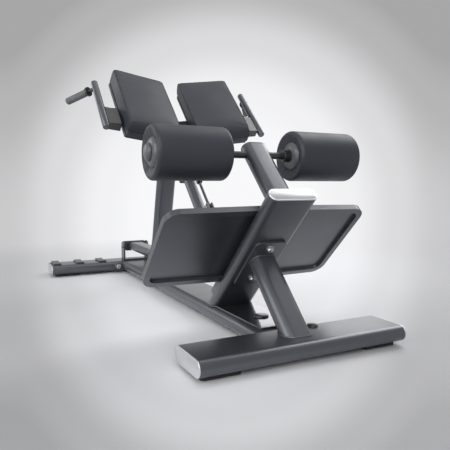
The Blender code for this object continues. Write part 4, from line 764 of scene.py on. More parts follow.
TRAY_HALF_WIDTH = 0.314
TRAY_SIDE = 0.313 / 2
TRAY_MIDDLE = 0.325 / 2
TRAY_CORNER = 0.040
TRAY_MIDDLE_CORNER = 0.020
TRAY_UP_POST = 0.3412
TRAY_FRONT = 0.0383
TRAY_THICKNESS = 0.018
TRAY_RIM = 0.0185
TRAY_RECESS = 0.0095
tray_outline = round_corners([
    (TRAY_HALF_WIDTH, TRAY_SIDE, TRAY_CORNER), (0.0, TRAY_MIDDLE, TRAY_MIDDLE_CORNER),
    (-TRAY_HALF_WIDTH, TRAY_SIDE, TRAY_CORNER), (-TRAY_HALF_WIDTH, -TRAY_SIDE, TRAY_CORNER),
    (0.0, -TRAY_MIDDLE, TRAY_MIDDLE_CORNER), (TRAY_HALF_WIDTH, -TRAY_SIDE, TRAY_CORNER)])
tray = draw_plate(tray_outline[::-1], TRAY_THICKNESS,
                  towards(on_slope(TRAY_FRONT, TRAY_UP_POST), -ALONG_BEAM, (1, 0, 0)),
                  pressed=TRAY_RECESS, border=TRAY_RIM, slant=0.12)
place_piece("footplate_tray", tray, paint, "frame", ["footplate"], bevel=0.0011,
            steps=3)
place_solid("footplate_rubber_tread", "footplate_tread", rubber, bevel=0.0004)
place_solid("footplate_spacer", "footplate_bracket", paint, bevel=0.0008)

# Roller arm: a smaller flat-oval tube stands off the post under its cap and holds the axle.
# Its own end cap is painted with it. The axle is blackened bar with a stop collar beside
# each roller, and a domed cap of satin grey plastic is pushed on each of its ends.
ARM_WIDTH = 0.078
ARM_THICKNESS = 0.045
ARM_UP_POST = 0.5310
ARM_TUBE_START = 0.0203
ARM_TUBE_END = 0.2349
AXLE_ALONG = 0.2072
arm = draw_tube([on_slope(ARM_TUBE_START, ARM_UP_POST), on_slope(ARM_TUBE_END, ARM_UP_POST)],
                ARM_WIDTH, ARM_THICKNESS)
place_piece("roller_arm_painted", arm, paint, "frame", ["roller_arm"], bevel=0.0007)
place_piece("end_cap_arm_painted",
            draw_cap(ARM_WIDTH, ARM_THICKNESS, beam_frame(ARM_TUBE_END, ARM_UP_POST)),
            paint, "frame", ["end_cap_arm"], bevel=0.0011, steps=3)
weld_round("arm_root_weld", ARM_WIDTH, ARM_THICKNESS, beam_frame(0.1, ARM_UP_POST),
           on_slope(ARM_TUBE_START + 0.0002, 0.0), ALONG_BEAM)

blackened = new_finish("blackened_steel", (0.075, 0.075, 0.082), 0.34,
                       tones=(40.0, (0.060, 0.060, 0.066), (0.100, 0.100, 0.108)),
                       gloss=(90.0, 0.26, 0.42), grain=(1100.0, 2.0, 0.12, 0.0001), Metallic=0.8)
place_solid("roller_axle_blackened", "roller_axle", blackened, bevel=0.0004)

CAP_DOME = ((0.0, 1.0), (0.0060, 0.985), (0.0115, 0.93), (0.0165, 0.82), (0.0205, 0.66),
            (0.0232, 0.46), (0.0245, 0.24), (0.0245, 0.13), (0.0235, 0.09), (0.0160, 0.09),
            (0.0160, 0.0), (0.0, 0.0))
disc_grey = new_finish("satin_grey_disc", (0.090, 0.093, 0.101), 0.40,
                       tones=(30.0, (0.083, 0.086, 0.094), (0.098, 0.101, 0.109)),
                       gloss=(60.0, 0.34, 0.42), grain=(900.0, 2.0, 0.06, 0.0001),
                       Coat_Weight=0.3, Coat_Roughness=0.25)
for side, sign in (("left", -1), ("right", 1)):
    low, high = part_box("axle_cap_" + side)
    inner_x = high.x if sign < 0 else low.x
    dome = turn_profile([(radius, share * (high.x - low.x)) for radius, share in CAP_DOME],
                        towards((inner_x, (low.y + high.y) / 2, (low.z + high.z) / 2),
                                (sign, 0, 0), (0, 1, 0)))
    place_piece("axle_cap_" + side + "_domed", dome, disc_grey, "frame",
                ["axle_cap_" + side])

# Ankle rollers: a foam sleeve on a plastic spool, covered in charcoal leatherette.
# The cover is gathered into folds at each end and held there by a round disc.
# The sleeve is swollen as cloth, held at its core, and its folds come before the swelling.
leather = new_finish("charcoal_leatherette", (0.036, 0.039, 0.050), 0.52,
                     tones=(7.0, (0.033, 0.036, 0.047), (0.040, 0.043, 0.055)),
                     gloss=(18.0, 0.42, 0.50), Specular_IOR_Level=0.40)
tree, shader, place = open_finish(leather)
pebbles = add_node(tree, "ShaderNodeTexVoronoi", {"Vector": place, "Scale": 620.0},
                   feature="SMOOTH_F1")
creases = add_node(tree, "ShaderNodeTexNoise", {"Vector": place, "Scale": 190.0, "Detail": 5.0})
grain_height = work_out(tree, "ADD", pebbles.outputs["Distance"], creases.outputs["Fac"])
raise_grain(tree, shader, grain_height, 0.07, 0.0004)

ROLLER_LENGTH = 0.215
ROLLER_RADIUS = 0.075
ROLLER_X = 0.214
DISC_RADIUS = 0.037
ROLLER_EDGE = 0.010
ROLLER_STEPS = 144
SWELL_FRAMES = 20


def swell(piece, pressure, most, held):
    """Lets a cover swell as cloth, capped, with the points in held kept where they are."""
    start = [point.co.copy() for point in piece.data.vertices]
    group = piece.vertex_groups.new(name="held")
    group.add(held, 1.0, "REPLACE")
    cloth = piece.modifiers.new("swell", "CLOTH")
    settings = cloth.settings
    settings.quality = 6
    settings.mass = 0.3
    settings.tension_stiffness = 25.0
    settings.compression_stiffness = 25.0
    settings.shear_stiffness = 8.0
    settings.bending_stiffness = 1.5
    settings.use_pressure = True
    settings.uniform_pressure_force = pressure
    settings.vertex_group_mass = "held"
    settings.effector_weights.gravity = 0.0
    cloth.collision_settings.use_collision = False
    cloth.point_cache.frame_start = 1
    cloth.point_cache.frame_end = SWELL_FRAMES
    for number in range(1, SWELL_FRAMES + 1):
        scene.frame_set(number)
    swollen = piece.evaluated_get(bpy.context.evaluated_depsgraph_get()).data
    for point, origin, moved in zip(piece.data.vertices, start, swollen.vertices):
        travel = moved.co - origin
        if travel.length > most:
            travel = travel.normalized() * most
        point.co = origin + travel
    piece.modifiers.remove(cloth)
    piece.vertex_groups.clear()
    scene.frame_set(1)


def soften(piece):
    """Rounds a swollen cover with a finer skin."""
    softened = piece.modifiers.new("softened", "SUBSURF")
    softened.levels = 1
    softened.render_levels = 1


def roller_profile():
    """Half of the cover's outline, from the disc's edge out to the middle of the sleeve."""
    half = ROLLER_LENGTH / 2
    side = ROLLER_RADIUS - 0.0015
    rim_radius = side - ROLLER_EDGE
    rim_end = half - 0.0010 - ROLLER_EDGE
    points = [(DISC_RADIUS * 0.80, half - 0.0125), (DISC_RADIUS + 0.0010, half - 0.0115)]
    for share in (0.15, 0.35, 0.55, 0.75, 0.92):
        radius = DISC_RADIUS + 0.002 + (rim_radius - DISC_RADIUS - 0.002) * share
        points.append((radius, half - 0.0100 + 0.0085 * math.sqrt(share)))
    for step in range(9):
        angle = math.radians(90.0 - 90.0 * step / 8)
        points.append((rim_radius + ROLLER_EDGE * math.cos(angle),
                       rim_end + ROLLER_EDGE * math.sin(angle)))
    for step in range(1, 15):
        points.append((side, rim_end * (1.0 - step / 14)))
    return points


def fold_depth(angle, seed):
    """How deep the gathers are at an angle round the roller, from 0 to 1."""
    wave = 0.0
    for number, weight in ((7, 0.40), (11, 0.35), (17, 0.25)):
        wave += weight * math.sin(number * angle + seed * 1.7 + number)
    return 0.5 + 0.5 * wave


FOLDS_RADIUS = 0.047
FOLDS_REACH = 0.017
FOLDS_FROM = 0.09
FOLDS_DEEP = 0.0045
half_profile = roller_profile()
cover_profile = half_profile + [(radius, -height) for radius, height in reversed(half_profile[:-1])]


def roller_cover(centre, seed):
    """The gathered cover of one roller, before it swells."""
    shape = bmesh.new()
    rings = []
    for radius, height in cover_profile:
        gathered = 0.0
        if abs(height) > FOLDS_FROM:
            gathered = max(0.0, 1.0 - abs(radius - FOLDS_RADIUS) / FOLDS_REACH)
        ring = []
        for step in range(ROLLER_STEPS):
            angle = 2 * math.pi * step / ROLLER_STEPS
            depth = FOLDS_DEEP * gathered * fold_depth(angle, seed + (height > 0))
            ring.append(shape.verts.new((math.copysign(abs(height) - depth, height),
                                         radius * math.cos(angle), radius * math.sin(angle))))
        rings.append(ring)
    join_rings(shape, rings + rings[:1])
    bmesh.ops.recalc_face_normals(shape, faces=shape.faces)
    bmesh.ops.translate(shape, verts=shape.verts, vec=centre)
    return shape_mesh(shape)


DISC_FACE = ROLLER_LENGTH / 2 - 0.0072
DISC_DOME = [(0.0180, 0.0003), (0.0180, 0.0072), (0.0195, 0.0080), (0.0250, 0.0074),
             (0.0310, 0.0058), (0.0362, 0.0034), (0.0400, 0.0002), (0.0415, -0.0030),
             (0.0408, -0.0040), (0.0376, -0.0040), (0.0376, 0.0003)]

HELD_RADIUS = DISC_RADIUS + 0.004
ROLLER_SWELL = 0.0018
for side, sign, seed in (("left", -1, 1), ("right", 1, 2)):
    centre = on_slope(AXLE_ALONG, ARM_UP_POST, sign * ROLLER_X)
    cover = roller_cover(centre, seed)
    foam_sleeve = place_piece("roller_cover_" + side, cover, leather,
                              "roller_" + side, ["roller_cushion_" + side])
    core = [point.index for point in cover.vertices
            if math.hypot(point.co.y - centre.y, point.co.z - centre.z) < HELD_RADIUS]
    swell(foam_sleeve, pressure=3.0, most=ROLLER_SWELL, held=core)
    soften(foam_sleeve)
    place_solid("roller_spool_" + side + "_moulded", "roller_spool_" + side, moulded,
                "roller_" + side, bevel=0.0006)
    discs = [turn_profile(DISC_DOME, towards(centre + Vector((facing * DISC_FACE, 0.0, 0.0)),
                                             (facing, 0, 0), (0, 1, 0)), closed=True)
             for facing in (-1, 1)]
    place_piece("roller_discs_" + side, join_meshes(discs), disc_grey,
                "roller_" + side)

# Beam: a round tube runs up from a socket on the post, with a row of holes for the pull pin.
# The sliding pad unit rides on it, and a black plug closes its upper end.
place_solid("beam_painted", "beam", paint, bevel=0.0004)
place_solid("beam_socket_painted", "beam_socket", paint, bevel=0.0012, steps=3)
place_solid("beam_plug", "beam_end_plug", moulded, bevel=0.0005)

# Gas spring: a blackened body over a slim rod takes the weight of the pads while they move.
# Its lower eye is pinned in a fork clamped round the beam, its upper eye under the pads.
nitrided = new_finish("black_nitrided_rod", (0.10, 0.10, 0.11), 0.20,
                      tones=(60.0, (0.08, 0.08, 0.09), (0.12, 0.12, 0.13)),
                      gloss=(120.0, 0.16, 0.26), Metallic=1.0)
place_solid("gas_spring_rod", "gas_rod", nitrided)
place_solid("gas_spring_body", "gas_body", blackened, "carriage", bevel=0.0003)
place_solid("gas_spring_bracket", "gas_bracket", paint, bevel=0.0008)
place_solid("gas_spring_lower_pin", "gas_lower_pin", plated, bevel=0.0003)
place_solid("gas_spring_upper_pin", "gas_upper_pin", plated, "carriage",
            bevel=0.0003)

# Column: a flat-oval tube leans back under the beam's upper end and bends forward at its foot.
# Its foot ends in a black bush, which a bolt holds between the cheeks of the front yoke.
BEAM_UP_POST = 0.1247
COLUMN_ALONG_BEAM = 0.7999
COLUMN_LEAN = math.radians(15.0)
COLUMN_FOOT_Z = 0.128
COLUMN_FOOT_SHORT = 0.0283
COLUMN_WIDTH = 0.080
COLUMN_THICKNESS = 0.040
COLUMN_BEND = 0.095
YOKE_Y = POST_FOOT_Y + 1.003
YOKE_BOLT_X = 0.0643
column_top = on_slope(COLUMN_ALONG_BEAM, BEAM_UP_POST)
lean_back = Vector((0.0, -math.sin(COLUMN_LEAN), math.cos(COLUMN_LEAN)))
column_corner = column_top - lean_back * ((column_top.z - COLUMN_FOOT_Z) / lean_back.z)
column = draw_tube([column_top + lean_back * COLUMN_THICKNESS, column_corner,
                    Vector((0.0, YOKE_Y - COLUMN_FOOT_SHORT, COLUMN_FOOT_Z))],
                   COLUMN_WIDTH, COLUMN_THICKNESS, bend=COLUMN_BEND)
cut_below(column, column_top, -UP_POST)
place_piece("column_painted", column, paint, "frame", ["column"], bevel=0.0006)
place_solid("column_foot_bush", "foot_bush", rubber, bevel=0.0012, steps=3)
place_solid("front_yoke_painted", "front_yoke", paint, bevel=0.0010, steps=3)
place_fasteners("yoke_bolt_heads", hex_head(0.0155, 0.0046),
                [((sign * YOKE_BOLT_X, YOKE_Y, COLUMN_FOOT_Z), (sign, 0, 0)) for sign in (-1, 1)],
                ["yoke_bolt"], washer=0.0200, thickness=0.0014)

# Sliding sleeve: a square tube with a flanged plastic liner in each end runs on the beam.
# The channel on top of it straddles the gas spring and carries the pads.
SLEEVE_START = 0.511
SLEEVE_SHORTER = 0.022
sleeve = cut_below(solid_copy("carriage_sleeve"), on_slope(SLEEVE_START + SLEEVE_SHORTER, 0.0),
                   ALONG_BEAM)
place_piece("sliding_sleeve", sleeve, paint, "carriage", ["carriage_sleeve"],
            bevel=0.0006)
for place_name, shift in (("lower", SLEEVE_SHORTER), ("upper", 0.0)):
    liner = solid_copy("sleeve_liner_" + place_name)
    liner.transform(Matrix.Translation(ALONG_BEAM * shift))
    place_piece("sleeve_liner_" + place_name + "_moulded", liner, moulded,
                "carriage", ["sleeve_liner_" + place_name], bevel=0.0006)
place_solid("bridge_channel", "carriage_bridge", paint, "carriage", bevel=0.0007)

# Pull pin: a spring plunger in a plated housing locks the sleeve to a hole in the beam.
# Its round black knob is moulded onto the end of the plunger and moves with it.
place_solid("pull_pin_collar", "pull_pin_housing", plated, "carriage",
            bevel=0.0008, steps=3)
place_solid("pull_pin_shank", "pull_pin_plunger", plated, "pull_pin", bevel=0.0006)
place_solid("pull_pin_grip", "pull_pin_knob", moulded, "pull_pin",
            bevel=0.0012, steps=3)

# Hip pads: two canted boards on a shallow V plate, each with a thick leatherette cushion.
# The cushion is swollen as cloth on its board, and a welt and stitches follow its edge.
place_solid("pad_frame_painted", "pad_frame", paint, "carriage", bevel=0.0010)
ply = new_finish("birch_plywood", (0.35, 0.24, 0.14), 0.62)
tree, shader, place = open_finish(ply)
slope_place = add_node(tree, "ShaderNodeMapping",
                       {"Vector": place, "Rotation": (math.radians(45.0), 0.0, 0.0),
                        "Scale": (60.0, 60.0, 6.0)})
veneer = add_node(tree, "ShaderNodeTexNoise", {"Vector": slope_place.outputs["Vector"],
                                               "Scale": 1.0, "Detail": 6.0})
wood_tone = add_node(tree, "ShaderNodeValToRGB", {"Fac": veneer.outputs["Fac"]})
wood_tone.color_ramp.elements[0].color = (0.24, 0.15, 0.08, 1.0)
wood_tone.color_ramp.elements[1].color = (0.46, 0.33, 0.20, 1.0)
tree.links.new(wood_tone.outputs["Color"], shader.inputs["Base Color"])
raise_grain(tree, shader, veneer.outputs["Fac"], 0.2, 0.0004)

PAD_CANT = math.radians(10.0)
PAD_WIDTH = 0.211
PAD_START = 0.621
PAD_LENGTH = 0.317
CUSHION_THICKNESS = 0.0627
BOARD_THICKNESS = 0.012
BACK_TO_FACE = 0.075
PAD_GAP = 0.059
FACE_UP_POST_AT_GAP = 0.2687
PAD_BACK_UP_POST = FACE_UP_POST_AT_GAP - BACK_TO_FACE * math.cos(PAD_CANT)
PAD_BACK_X = PAD_GAP / 2 + BACK_TO_FACE * math.sin(PAD_CANT)
PAD_VOXEL = 0.004
PAD_SWELL = 0.006


def pad_frame_matrix(sign):
    """Frame on the back of a pad: X out from the gap, Y from back to face, Z up the beam."""
    outward = Vector((sign * math.cos(PAD_CANT), 0.0, 0.0)) + UP_POST * math.sin(PAD_CANT)
    face = Vector((-sign * math.sin(PAD_CANT), 0.0, 0.0)) + UP_POST * math.cos(PAD_CANT)
    turn = Matrix((outward, face, ALONG_BEAM)).transposed().to_4x4()
    return Matrix.Translation(on_slope(PAD_START, PAD_BACK_UP_POST, sign * PAD_BACK_X)) @ turn


FACE_STATIONS = ((-0.006, 0.03), (-0.006, 0.34), (-0.004, 0.56), (0.003, 0.76), (0.012, 0.89),
                 (0.026, 0.975), (0.046, 1.0), (0.130, 1.0), (PAD_LENGTH - 0.020, 1.0),
                 (PAD_LENGTH - 0.0025, 0.985), (PAD_LENGTH, 0.94), (PAD_LENGTH, 0.04))


def cushion_cage():
    """Coarse cage of a cushion: its lower end is rolled back and its long edges are crisp."""
    across = (-0.5, -0.493, -0.30, 0.0, 0.30, 0.493, 0.5)
    shape = bmesh.new()
    rings = []
    for place, share in FACE_STATIONS:
        height = CUSHION_THICKNESS * share
        face = [(x * (PAD_WIDTH - 0.003),
                 height - min(0.004, height * 0.3) if abs(x) == 0.5
                 else height * (1.0 - 0.03 * abs(x))) for x in across]
        back = [(x * (PAD_WIDTH - 0.009), 0.0) for x in reversed(across)]
        rings.append([shape.verts.new((x + PAD_WIDTH / 2, y, place)) for x, y in face + back])
    count = len(rings[0])
    for first, second in zip(rings, rings[1:]):
        for index in range(count):
            following = (index + 1) % count
            shape.faces.new((first[index], second[index], second[following], first[following]))
    for ring, is_top in ((rings[0], False), (rings[-1], True)):
        for index in range(len(across) - 1):
            corners = (ring[index], ring[index + 1], ring[count - 2 - index],
                       ring[count - 1 - index])
            shape.faces.new(corners[::-1] if is_top else corners)
    return shape_mesh(shape)


def draw_ring(outer, inner, thickness, matrix):
    """A flat ring between two outlines of as many points, drawn out along local Y."""
    shape = bmesh.new()
    loops = [[shape.verts.new((x, y, z)) for x, z in outline]
             for outline, y in ((outer, 0.0), (outer, thickness), (inner, thickness), (inner, 0.0))]
    join_rings(shape, loops + loops[:1])
    bmesh.ops.recalc_face_normals(shape, faces=shape.faces)
    shape.transform(matrix)
    if matrix.determinant() < 0:
        bmesh.ops.reverse_faces(shape, faces=shape.faces)
    return shape_mesh(shape)


def remeshed(mesh, subdivisions, voxel):
    """A mesh subdivided and then wrapped in even faces."""
    holder = bpy.data.objects.new("remesh", mesh)
    scene.collection.objects.link(holder)
    smooth = holder.modifiers.new("smooth", "SUBSURF")
    smooth.levels = subdivisions
    smooth.render_levels = subdivisions
    even = holder.modifiers.new("even", "REMESH")
    even.mode = "VOXEL"
    even.voxel_size = voxel
    result = bpy.data.meshes.new_from_object(
        holder.evaluated_get(bpy.context.evaluated_depsgraph_get()))
    bpy.data.objects.remove(holder)
    return result


thread = new_finish("grey_thread", (0.085, 0.087, 0.092), 0.65,
                    tones=(400.0, (0.070, 0.072, 0.077), (0.110, 0.112, 0.118)))
tree, shader, place = open_finish(thread)
twist = add_node(tree, "ShaderNodeTexWave", {"Vector": place, "Scale": 500.0})
raise_grain(tree, shader, twist.outputs["Fac"], 0.3, 0.0002)

piping = new_finish("black_piping", (0.012, 0.012, 0.014), 0.62,
                    tones=(60.0, (0.010, 0.010, 0.012), (0.016, 0.016, 0.018)),
                    gloss=(90.0, 0.55, 0.70), grain=(1400.0, 2.0, 0.1, 0.0002))

stitch_tree, entry = new_tree("stitches", [("Pitch", "Float", 0.0048), ("Length", "Float", 0.0034),
                                           ("Thickness", "Float", 0.0009)])
stitch_line = add_node(stitch_tree, "GeometryNodeMeshToCurve", {"Mesh": entry["Geometry"]})
stitch_points = add_node(stitch_tree, "GeometryNodeCurveToPoints",
                         {"Curve": stitch_line.outputs["Curve"], "Length": entry["Pitch"]},
                         mode="LENGTH")
half_thread = work_out(stitch_tree, "MULTIPLY", entry["Thickness"], 0.5)
half_stitch = work_out(stitch_tree, "MULTIPLY", entry["Length"], 0.5)
stitch_size = add_node(stitch_tree, "ShaderNodeCombineXYZ",
                       {"X": half_thread, "Y": half_thread, "Z": half_stitch})
one_stitch = add_node(stitch_tree, "GeometryNodeMeshUVSphere",
                      {"Segments": 6, "Rings": 6, "Radius": 1.0})
along_seam = add_node(stitch_tree, "FunctionNodeAlignRotationToVector",
                      {"Vector": stitch_points.outputs["Tangent"]}, axis="Z")
sewn = add_node(stitch_tree, "GeometryNodeInstanceOnPoints",
                {"Points": stitch_points.outputs["Points"], "Instance": one_stitch.outputs["Mesh"],
                 "Rotation": along_seam.outputs["Rotation"],
                 "Scale": stitch_size.outputs["Vector"]})
close_tree(stitch_tree, entry, sewn.outputs["Instances"])


def surface_path(mesh, matrix, points, lift):
    """Points of a piece's own frame moved onto its surface, and lifted off it a little."""
    tree = BVHTree.FromPolygons([point.co for point in mesh.vertices],
                                [tuple(face.vertices) for face in mesh.polygons])
    found = []
    for point in points:
        spot, normal, index, distance = tree.find_nearest(matrix @ Vector(point))
        found.append(spot + normal * lift)
    return found


def edge_loop(inset):
    """Points round the face of a cushion, a little outside it, at an inset from its edge."""
    low_x, high_x = inset, PAD_WIDTH - inset
    climb = [(CUSHION_THICKNESS * share + 0.004, place + inset * (1.0 - 2.0 * place / PAD_LENGTH))
             for place, share in FACE_STATIONS[1:-1]]
    points = [(low_x, y, z) for y, z in climb]
    top_y, top_z = climb[-1]
    points += [(low_x + (high_x - low_x) * step / 12, top_y, top_z) for step in range(1, 12)]
    points += [(high_x, y, z) for y, z in reversed(climb)]
    low_y, low_z = climb[0]
    points += [(high_x - (high_x - low_x) * step / 12, low_y, low_z) for step in range(1, 12)]
    return points


def shifted(outline, x, z):
    """An outline moved on the back of a pad."""
    return [(point_x + x, point_z + z) for point_x, point_z in outline]


BORDER_OUTLINE = shifted(round_rectangle(PAD_WIDTH - 0.009, PAD_LENGTH - 0.004, 0.008),
                         PAD_WIDTH / 2, PAD_LENGTH / 2)
BORDER_OPENING = shifted(round_rectangle(PAD_WIDTH - 0.0192, PAD_LENGTH - 0.038, 0.002),
                         PAD_WIDTH / 2, PAD_LENGTH / 2 + 0.0095)
BACK_HELD = 0.004
EDGE_HELD = 0.006
EDGE_HELD_FROM = 0.035
STITCHES_IN = 0.009
for side, sign in (("left", -1), ("right", 1)):
    back = pad_frame_matrix(sign)
    place_solid("pad_board_" + side + "_ply", "pad_board_" + side, ply, "carriage",
                bevel=0.0010)
    place_piece("pad_cover_turned_in_" + side,
                draw_ring(BORDER_OUTLINE, BORDER_OPENING, BOARD_THICKNESS + 0.0004,
                          back @ Matrix.Translation((0.0, 0.0002, 0.0))),
                leather, "carriage", bevel=0.0012, steps=3)
    matrix = back @ Matrix.Translation((0.0, BOARD_THICKNESS + 0.0006, 0.0))
    cushion_mesh = remeshed(cushion_cage(), 2, PAD_VOXEL)
    cushion_mesh.transform(matrix)
    if matrix.determinant() < 0:
        cushion_mesh.flip_normals()
    cushion = place_piece("hip_cushion_" + side, cushion_mesh, leather, "carriage",
                          ["hip_pad_" + side])
    back_to_pad = matrix.inverted()
    held = []
    for point in cushion_mesh.vertices:
        seat = back_to_pad @ point.co
        from_edge = min(seat.x, PAD_WIDTH - seat.x)
        if seat.y < BACK_HELD or (from_edge < EDGE_HELD and seat.y > EDGE_HELD_FROM):
            held.append(point.index)
    swell(cushion, pressure=4.0, most=PAD_SWELL, held=held)
    for point in cushion_mesh.vertices:
        seat = back_to_pad @ point.co
        if seat.y < 0.0:
            seat.y = 0.0
            point.co = matrix @ seat
    soften(cushion)
    bpy.context.view_layer.update()
    soft_mesh = cushion.evaluated_get(bpy.context.evaluated_depsgraph_get()).to_mesh()
    seam_points = surface_path(soft_mesh, matrix, edge_loop(0.0), 0.0002)
    stitch_path = surface_path(soft_mesh, matrix, edge_loop(STITCHES_IN), 0.0001)
    cushion.to_mesh_clear()
    welt = grow(bead_tree, line_mesh(seam_points, True), Finish=piping, Radius=0.0015,
                Ripple=0.02)
    place_piece("cushion_welt_" + side, welt, piping, "carriage")
    stitches = grow(stitch_tree, line_mesh(stitch_path, True), Finish=thread)
    place_piece("cushion_stitches_" + side, stitches, thread, "carriage")

# Handles: a steel tube beside each pad, held off the pad frame by a moulded black spacer.
# A blackened bar points forward and out from near its upper end, in a ribbed grey rubber grip.
grip_rubber = new_finish("grey_grip_rubber", (0.13, 0.133, 0.140), 0.66,
                         tones=(25.0, (0.115, 0.118, 0.125), (0.145, 0.148, 0.156)),
                         gloss=(60.0, 0.52, 0.68), grain=(800.0, 2.0, 0.1, 0.0002))
HANDLE_RADIUS = 0.0125
HANDLE_UP_POST = 0.2610
HANDLE_X = 0.310
HANDLE_START = 0.637
HANDLE_LENGTH = 0.259
HANDLE_TUBE = [(0.0, 0.0), (0.0070, 0.0), (0.0110, 0.0006), (HANDLE_RADIUS, 0.0026),
               (HANDLE_RADIUS, HANDLE_LENGTH - 0.0030), (0.0116, HANDLE_LENGTH - 0.0020),
               (0.0, HANDLE_LENGTH - 0.0020)]
HANDLE_PLUG = [(0.0, 0.0), (0.0112, 0.0), (0.0112, 0.0010), (0.0100, 0.0026), (0.0070, 0.0036),
               (0.0, 0.0040)]
PLUG_IN = 0.0022
SPACER_START = 0.656
SPACER_LENGTH = 0.088
SPACER_OUTLINE = [(0.2530, -0.0045), (0.2985, -0.0045), (0.2985, 0.0240), (0.2530, 0.0305)]
GRIP_ALONG = 0.861
GRIP_BAR = [(0.0, 0.0), (0.0070, 0.0), (0.0070, 0.1440), (0.0, 0.1440)]
GRIP_FLANGE = [(0.0075, 0.0340), (0.0165, 0.0340), (0.0178, 0.0352), (0.0178, 0.0408),
               (0.0165, 0.0420), (0.0140, 0.0440), (0.0075, 0.0440)]
GRIP_START = 0.0445
GRIP_END = 0.1480
GRIP_RADIUS = 0.0135
for side, sign in (("left", -1), ("right", 1)):
    handle_x = sign * HANDLE_X
    place_piece("handle_" + side + "_painted",
                turn_profile(HANDLE_TUBE, beam_frame(HANDLE_START, HANDLE_UP_POST, handle_x)),
                paint, "carriage", ["handle_" + side])
    spacer_outline = [(sign * x, below - HANDLE_UP_POST) for x, below in SPACER_OUTLINE]
    spacer = draw_plate(spacer_outline, SPACER_LENGTH, beam_frame(SPACER_START, 0.0))
    place_piece("handle_spacer_" + side, spacer, moulded, "carriage",
                bevel=0.0016, steps=3)
    plug_frame = beam_frame(HANDLE_START + HANDLE_LENGTH - PLUG_IN, HANDLE_UP_POST, handle_x)
    place_piece("handle_end_plug_" + side, turn_profile(HANDLE_PLUG, plug_frame), moulded,
                "carriage")
    outward = Vector((sign * 0.55, 0.80, -0.25)).normalized()
    root = on_slope(GRIP_ALONG, HANDLE_UP_POST, handle_x)
    grip_frame = towards(root, outward, STRAIGHT_UP.cross(outward))
    place_piece("grip_bar_" + side, turn_profile(GRIP_BAR, grip_frame), blackened,
                "carriage")
    place_piece("grip_flange_" + side, turn_profile(GRIP_FLANGE, grip_frame, closed=True),
                moulded, "carriage")
    grip_line = [root + outward * reach for reach in (GRIP_START, GRIP_END)]
    ribbed = grow(bead_tree, line_mesh(grip_line), Finish=grip_rubber, Radius=GRIP_RADIUS,
                  Ripple=0.0062, Valley=0.90, Sides=36, Steps=0.10)
    place_piece("grip_" + side + "_ribbed", tidy_mesh(ribbed), grip_rubber,
                "carriage", ["grip_" + side])

# Floor and light: a pale studio floor, seven soft lamps round the bench and a pale world.
# The backdrop seen by the camera and in reflections is painted with a falloff of light:
# brightest beyond the bench, and darker towards its top and its sides. The floor's colour
# carries the same painted falloff, and far away the floor glows with it as painted light,
# so that no edge shows.
floor_shape = bmesh.new()
bmesh.ops.create_grid(floor_shape, x_segments=1, y_segments=1, size=60.0)
floor_mesh = shape_mesh(floor_shape)
floor_object = bpy.data.objects.new("studio_floor", floor_mesh)
scene.collection.objects.link(floor_object)

ROOM_TURN = math.radians(26.65)
# Tones of the painted falloff of light, from its bright middle out to its dark edge.
PAINTED_FALLOFF_STOPS = ((0.16, 0.955), (0.24, 0.90), (0.33, 0.72), (0.42, 0.47), (0.52, 0.29))
SIDE_LIMIT = 0.375
SIDE_ROUNDING = 0.05
MIDDLE_BELOW_EYE = 0.06
WIDEST = 0.465
RED_GREEN_SHARE = 0.985


def painted_falloff_colour(tree, direction):
    """The painted falloff of light in a direction, which is a unit vector: brightest in the middle,
    darker towards the top and the sides.
    """
    turned = add_node(tree, "ShaderNodeVectorRotate", {"Vector": direction, "Angle": ROOM_TURN},
                      rotation_type="Z_AXIS")
    parts = add_node(tree, "ShaderNodeSeparateXYZ", {"Vector": turned.outputs["Vector"]})
    sideways = work_out(tree, "ABSOLUTE", parts.outputs["X"])
    behind = work_out(tree, "MULTIPLY", parts.outputs["Y"], -1.0)
    limited = add_node(tree, "ShaderNodeMath",
                       {0: work_out(tree, "MAXIMUM", sideways, behind), 1: SIDE_LIMIT,
                        2: SIDE_ROUNDING}, operation="SMOOTH_MIN")
    height = work_out(tree, "ADD", parts.outputs["Z"], MIDDLE_BELOW_EYE)
    flat = add_node(tree, "ShaderNodeCombineXYZ", {"X": limited.outputs["Value"], "Y": height})
    spread = add_node(tree, "ShaderNodeVectorMath", {0: flat.outputs["Vector"]},
                      operation="LENGTH")
    clipped = work_out(tree, "MINIMUM", spread.outputs["Value"], WIDEST)
    ramp = add_node(tree, "ShaderNodeValToRGB", {"Fac": clipped})
    ramp.color_ramp.interpolation = "EASE"
    while len(ramp.color_ramp.elements) < len(PAINTED_FALLOFF_STOPS):
        ramp.color_ramp.elements.new(0.5)
    for element, (position, tone) in zip(ramp.color_ramp.elements, PAINTED_FALLOFF_STOPS):
        element.position = position
        element.color = (tone * RED_GREEN_SHARE, tone * RED_GREEN_SHARE, tone, 1.0)
    return ramp.outputs["Color"]


# The floor's base colour is painted light: the same falloff, graded from a point near the camera,
# brightest round and beyond the bench and darker towards the near side and the sides.
floor_finish = new_finish("pale_floor", (0.80, 0.805, 0.82), 0.6)
tree, shader, place = open_finish(floor_finish)
PAINTED_FALLOFF_ORIGIN = (-0.72, -1.75, 0.365)
from_start = add_node(tree, "ShaderNodeVectorMath", {0: place, 1: PAINTED_FALLOFF_ORIGIN},
                      operation="SUBTRACT")
from_start = add_node(tree, "ShaderNodeVectorMath", {0: from_start.outputs["Vector"]},
                      operation="NORMALIZE")
floor_painted_falloff = painted_falloff_colour(tree, from_start.outputs["Vector"])
tree.links.new(floor_painted_falloff, shader.inputs["Base Color"])
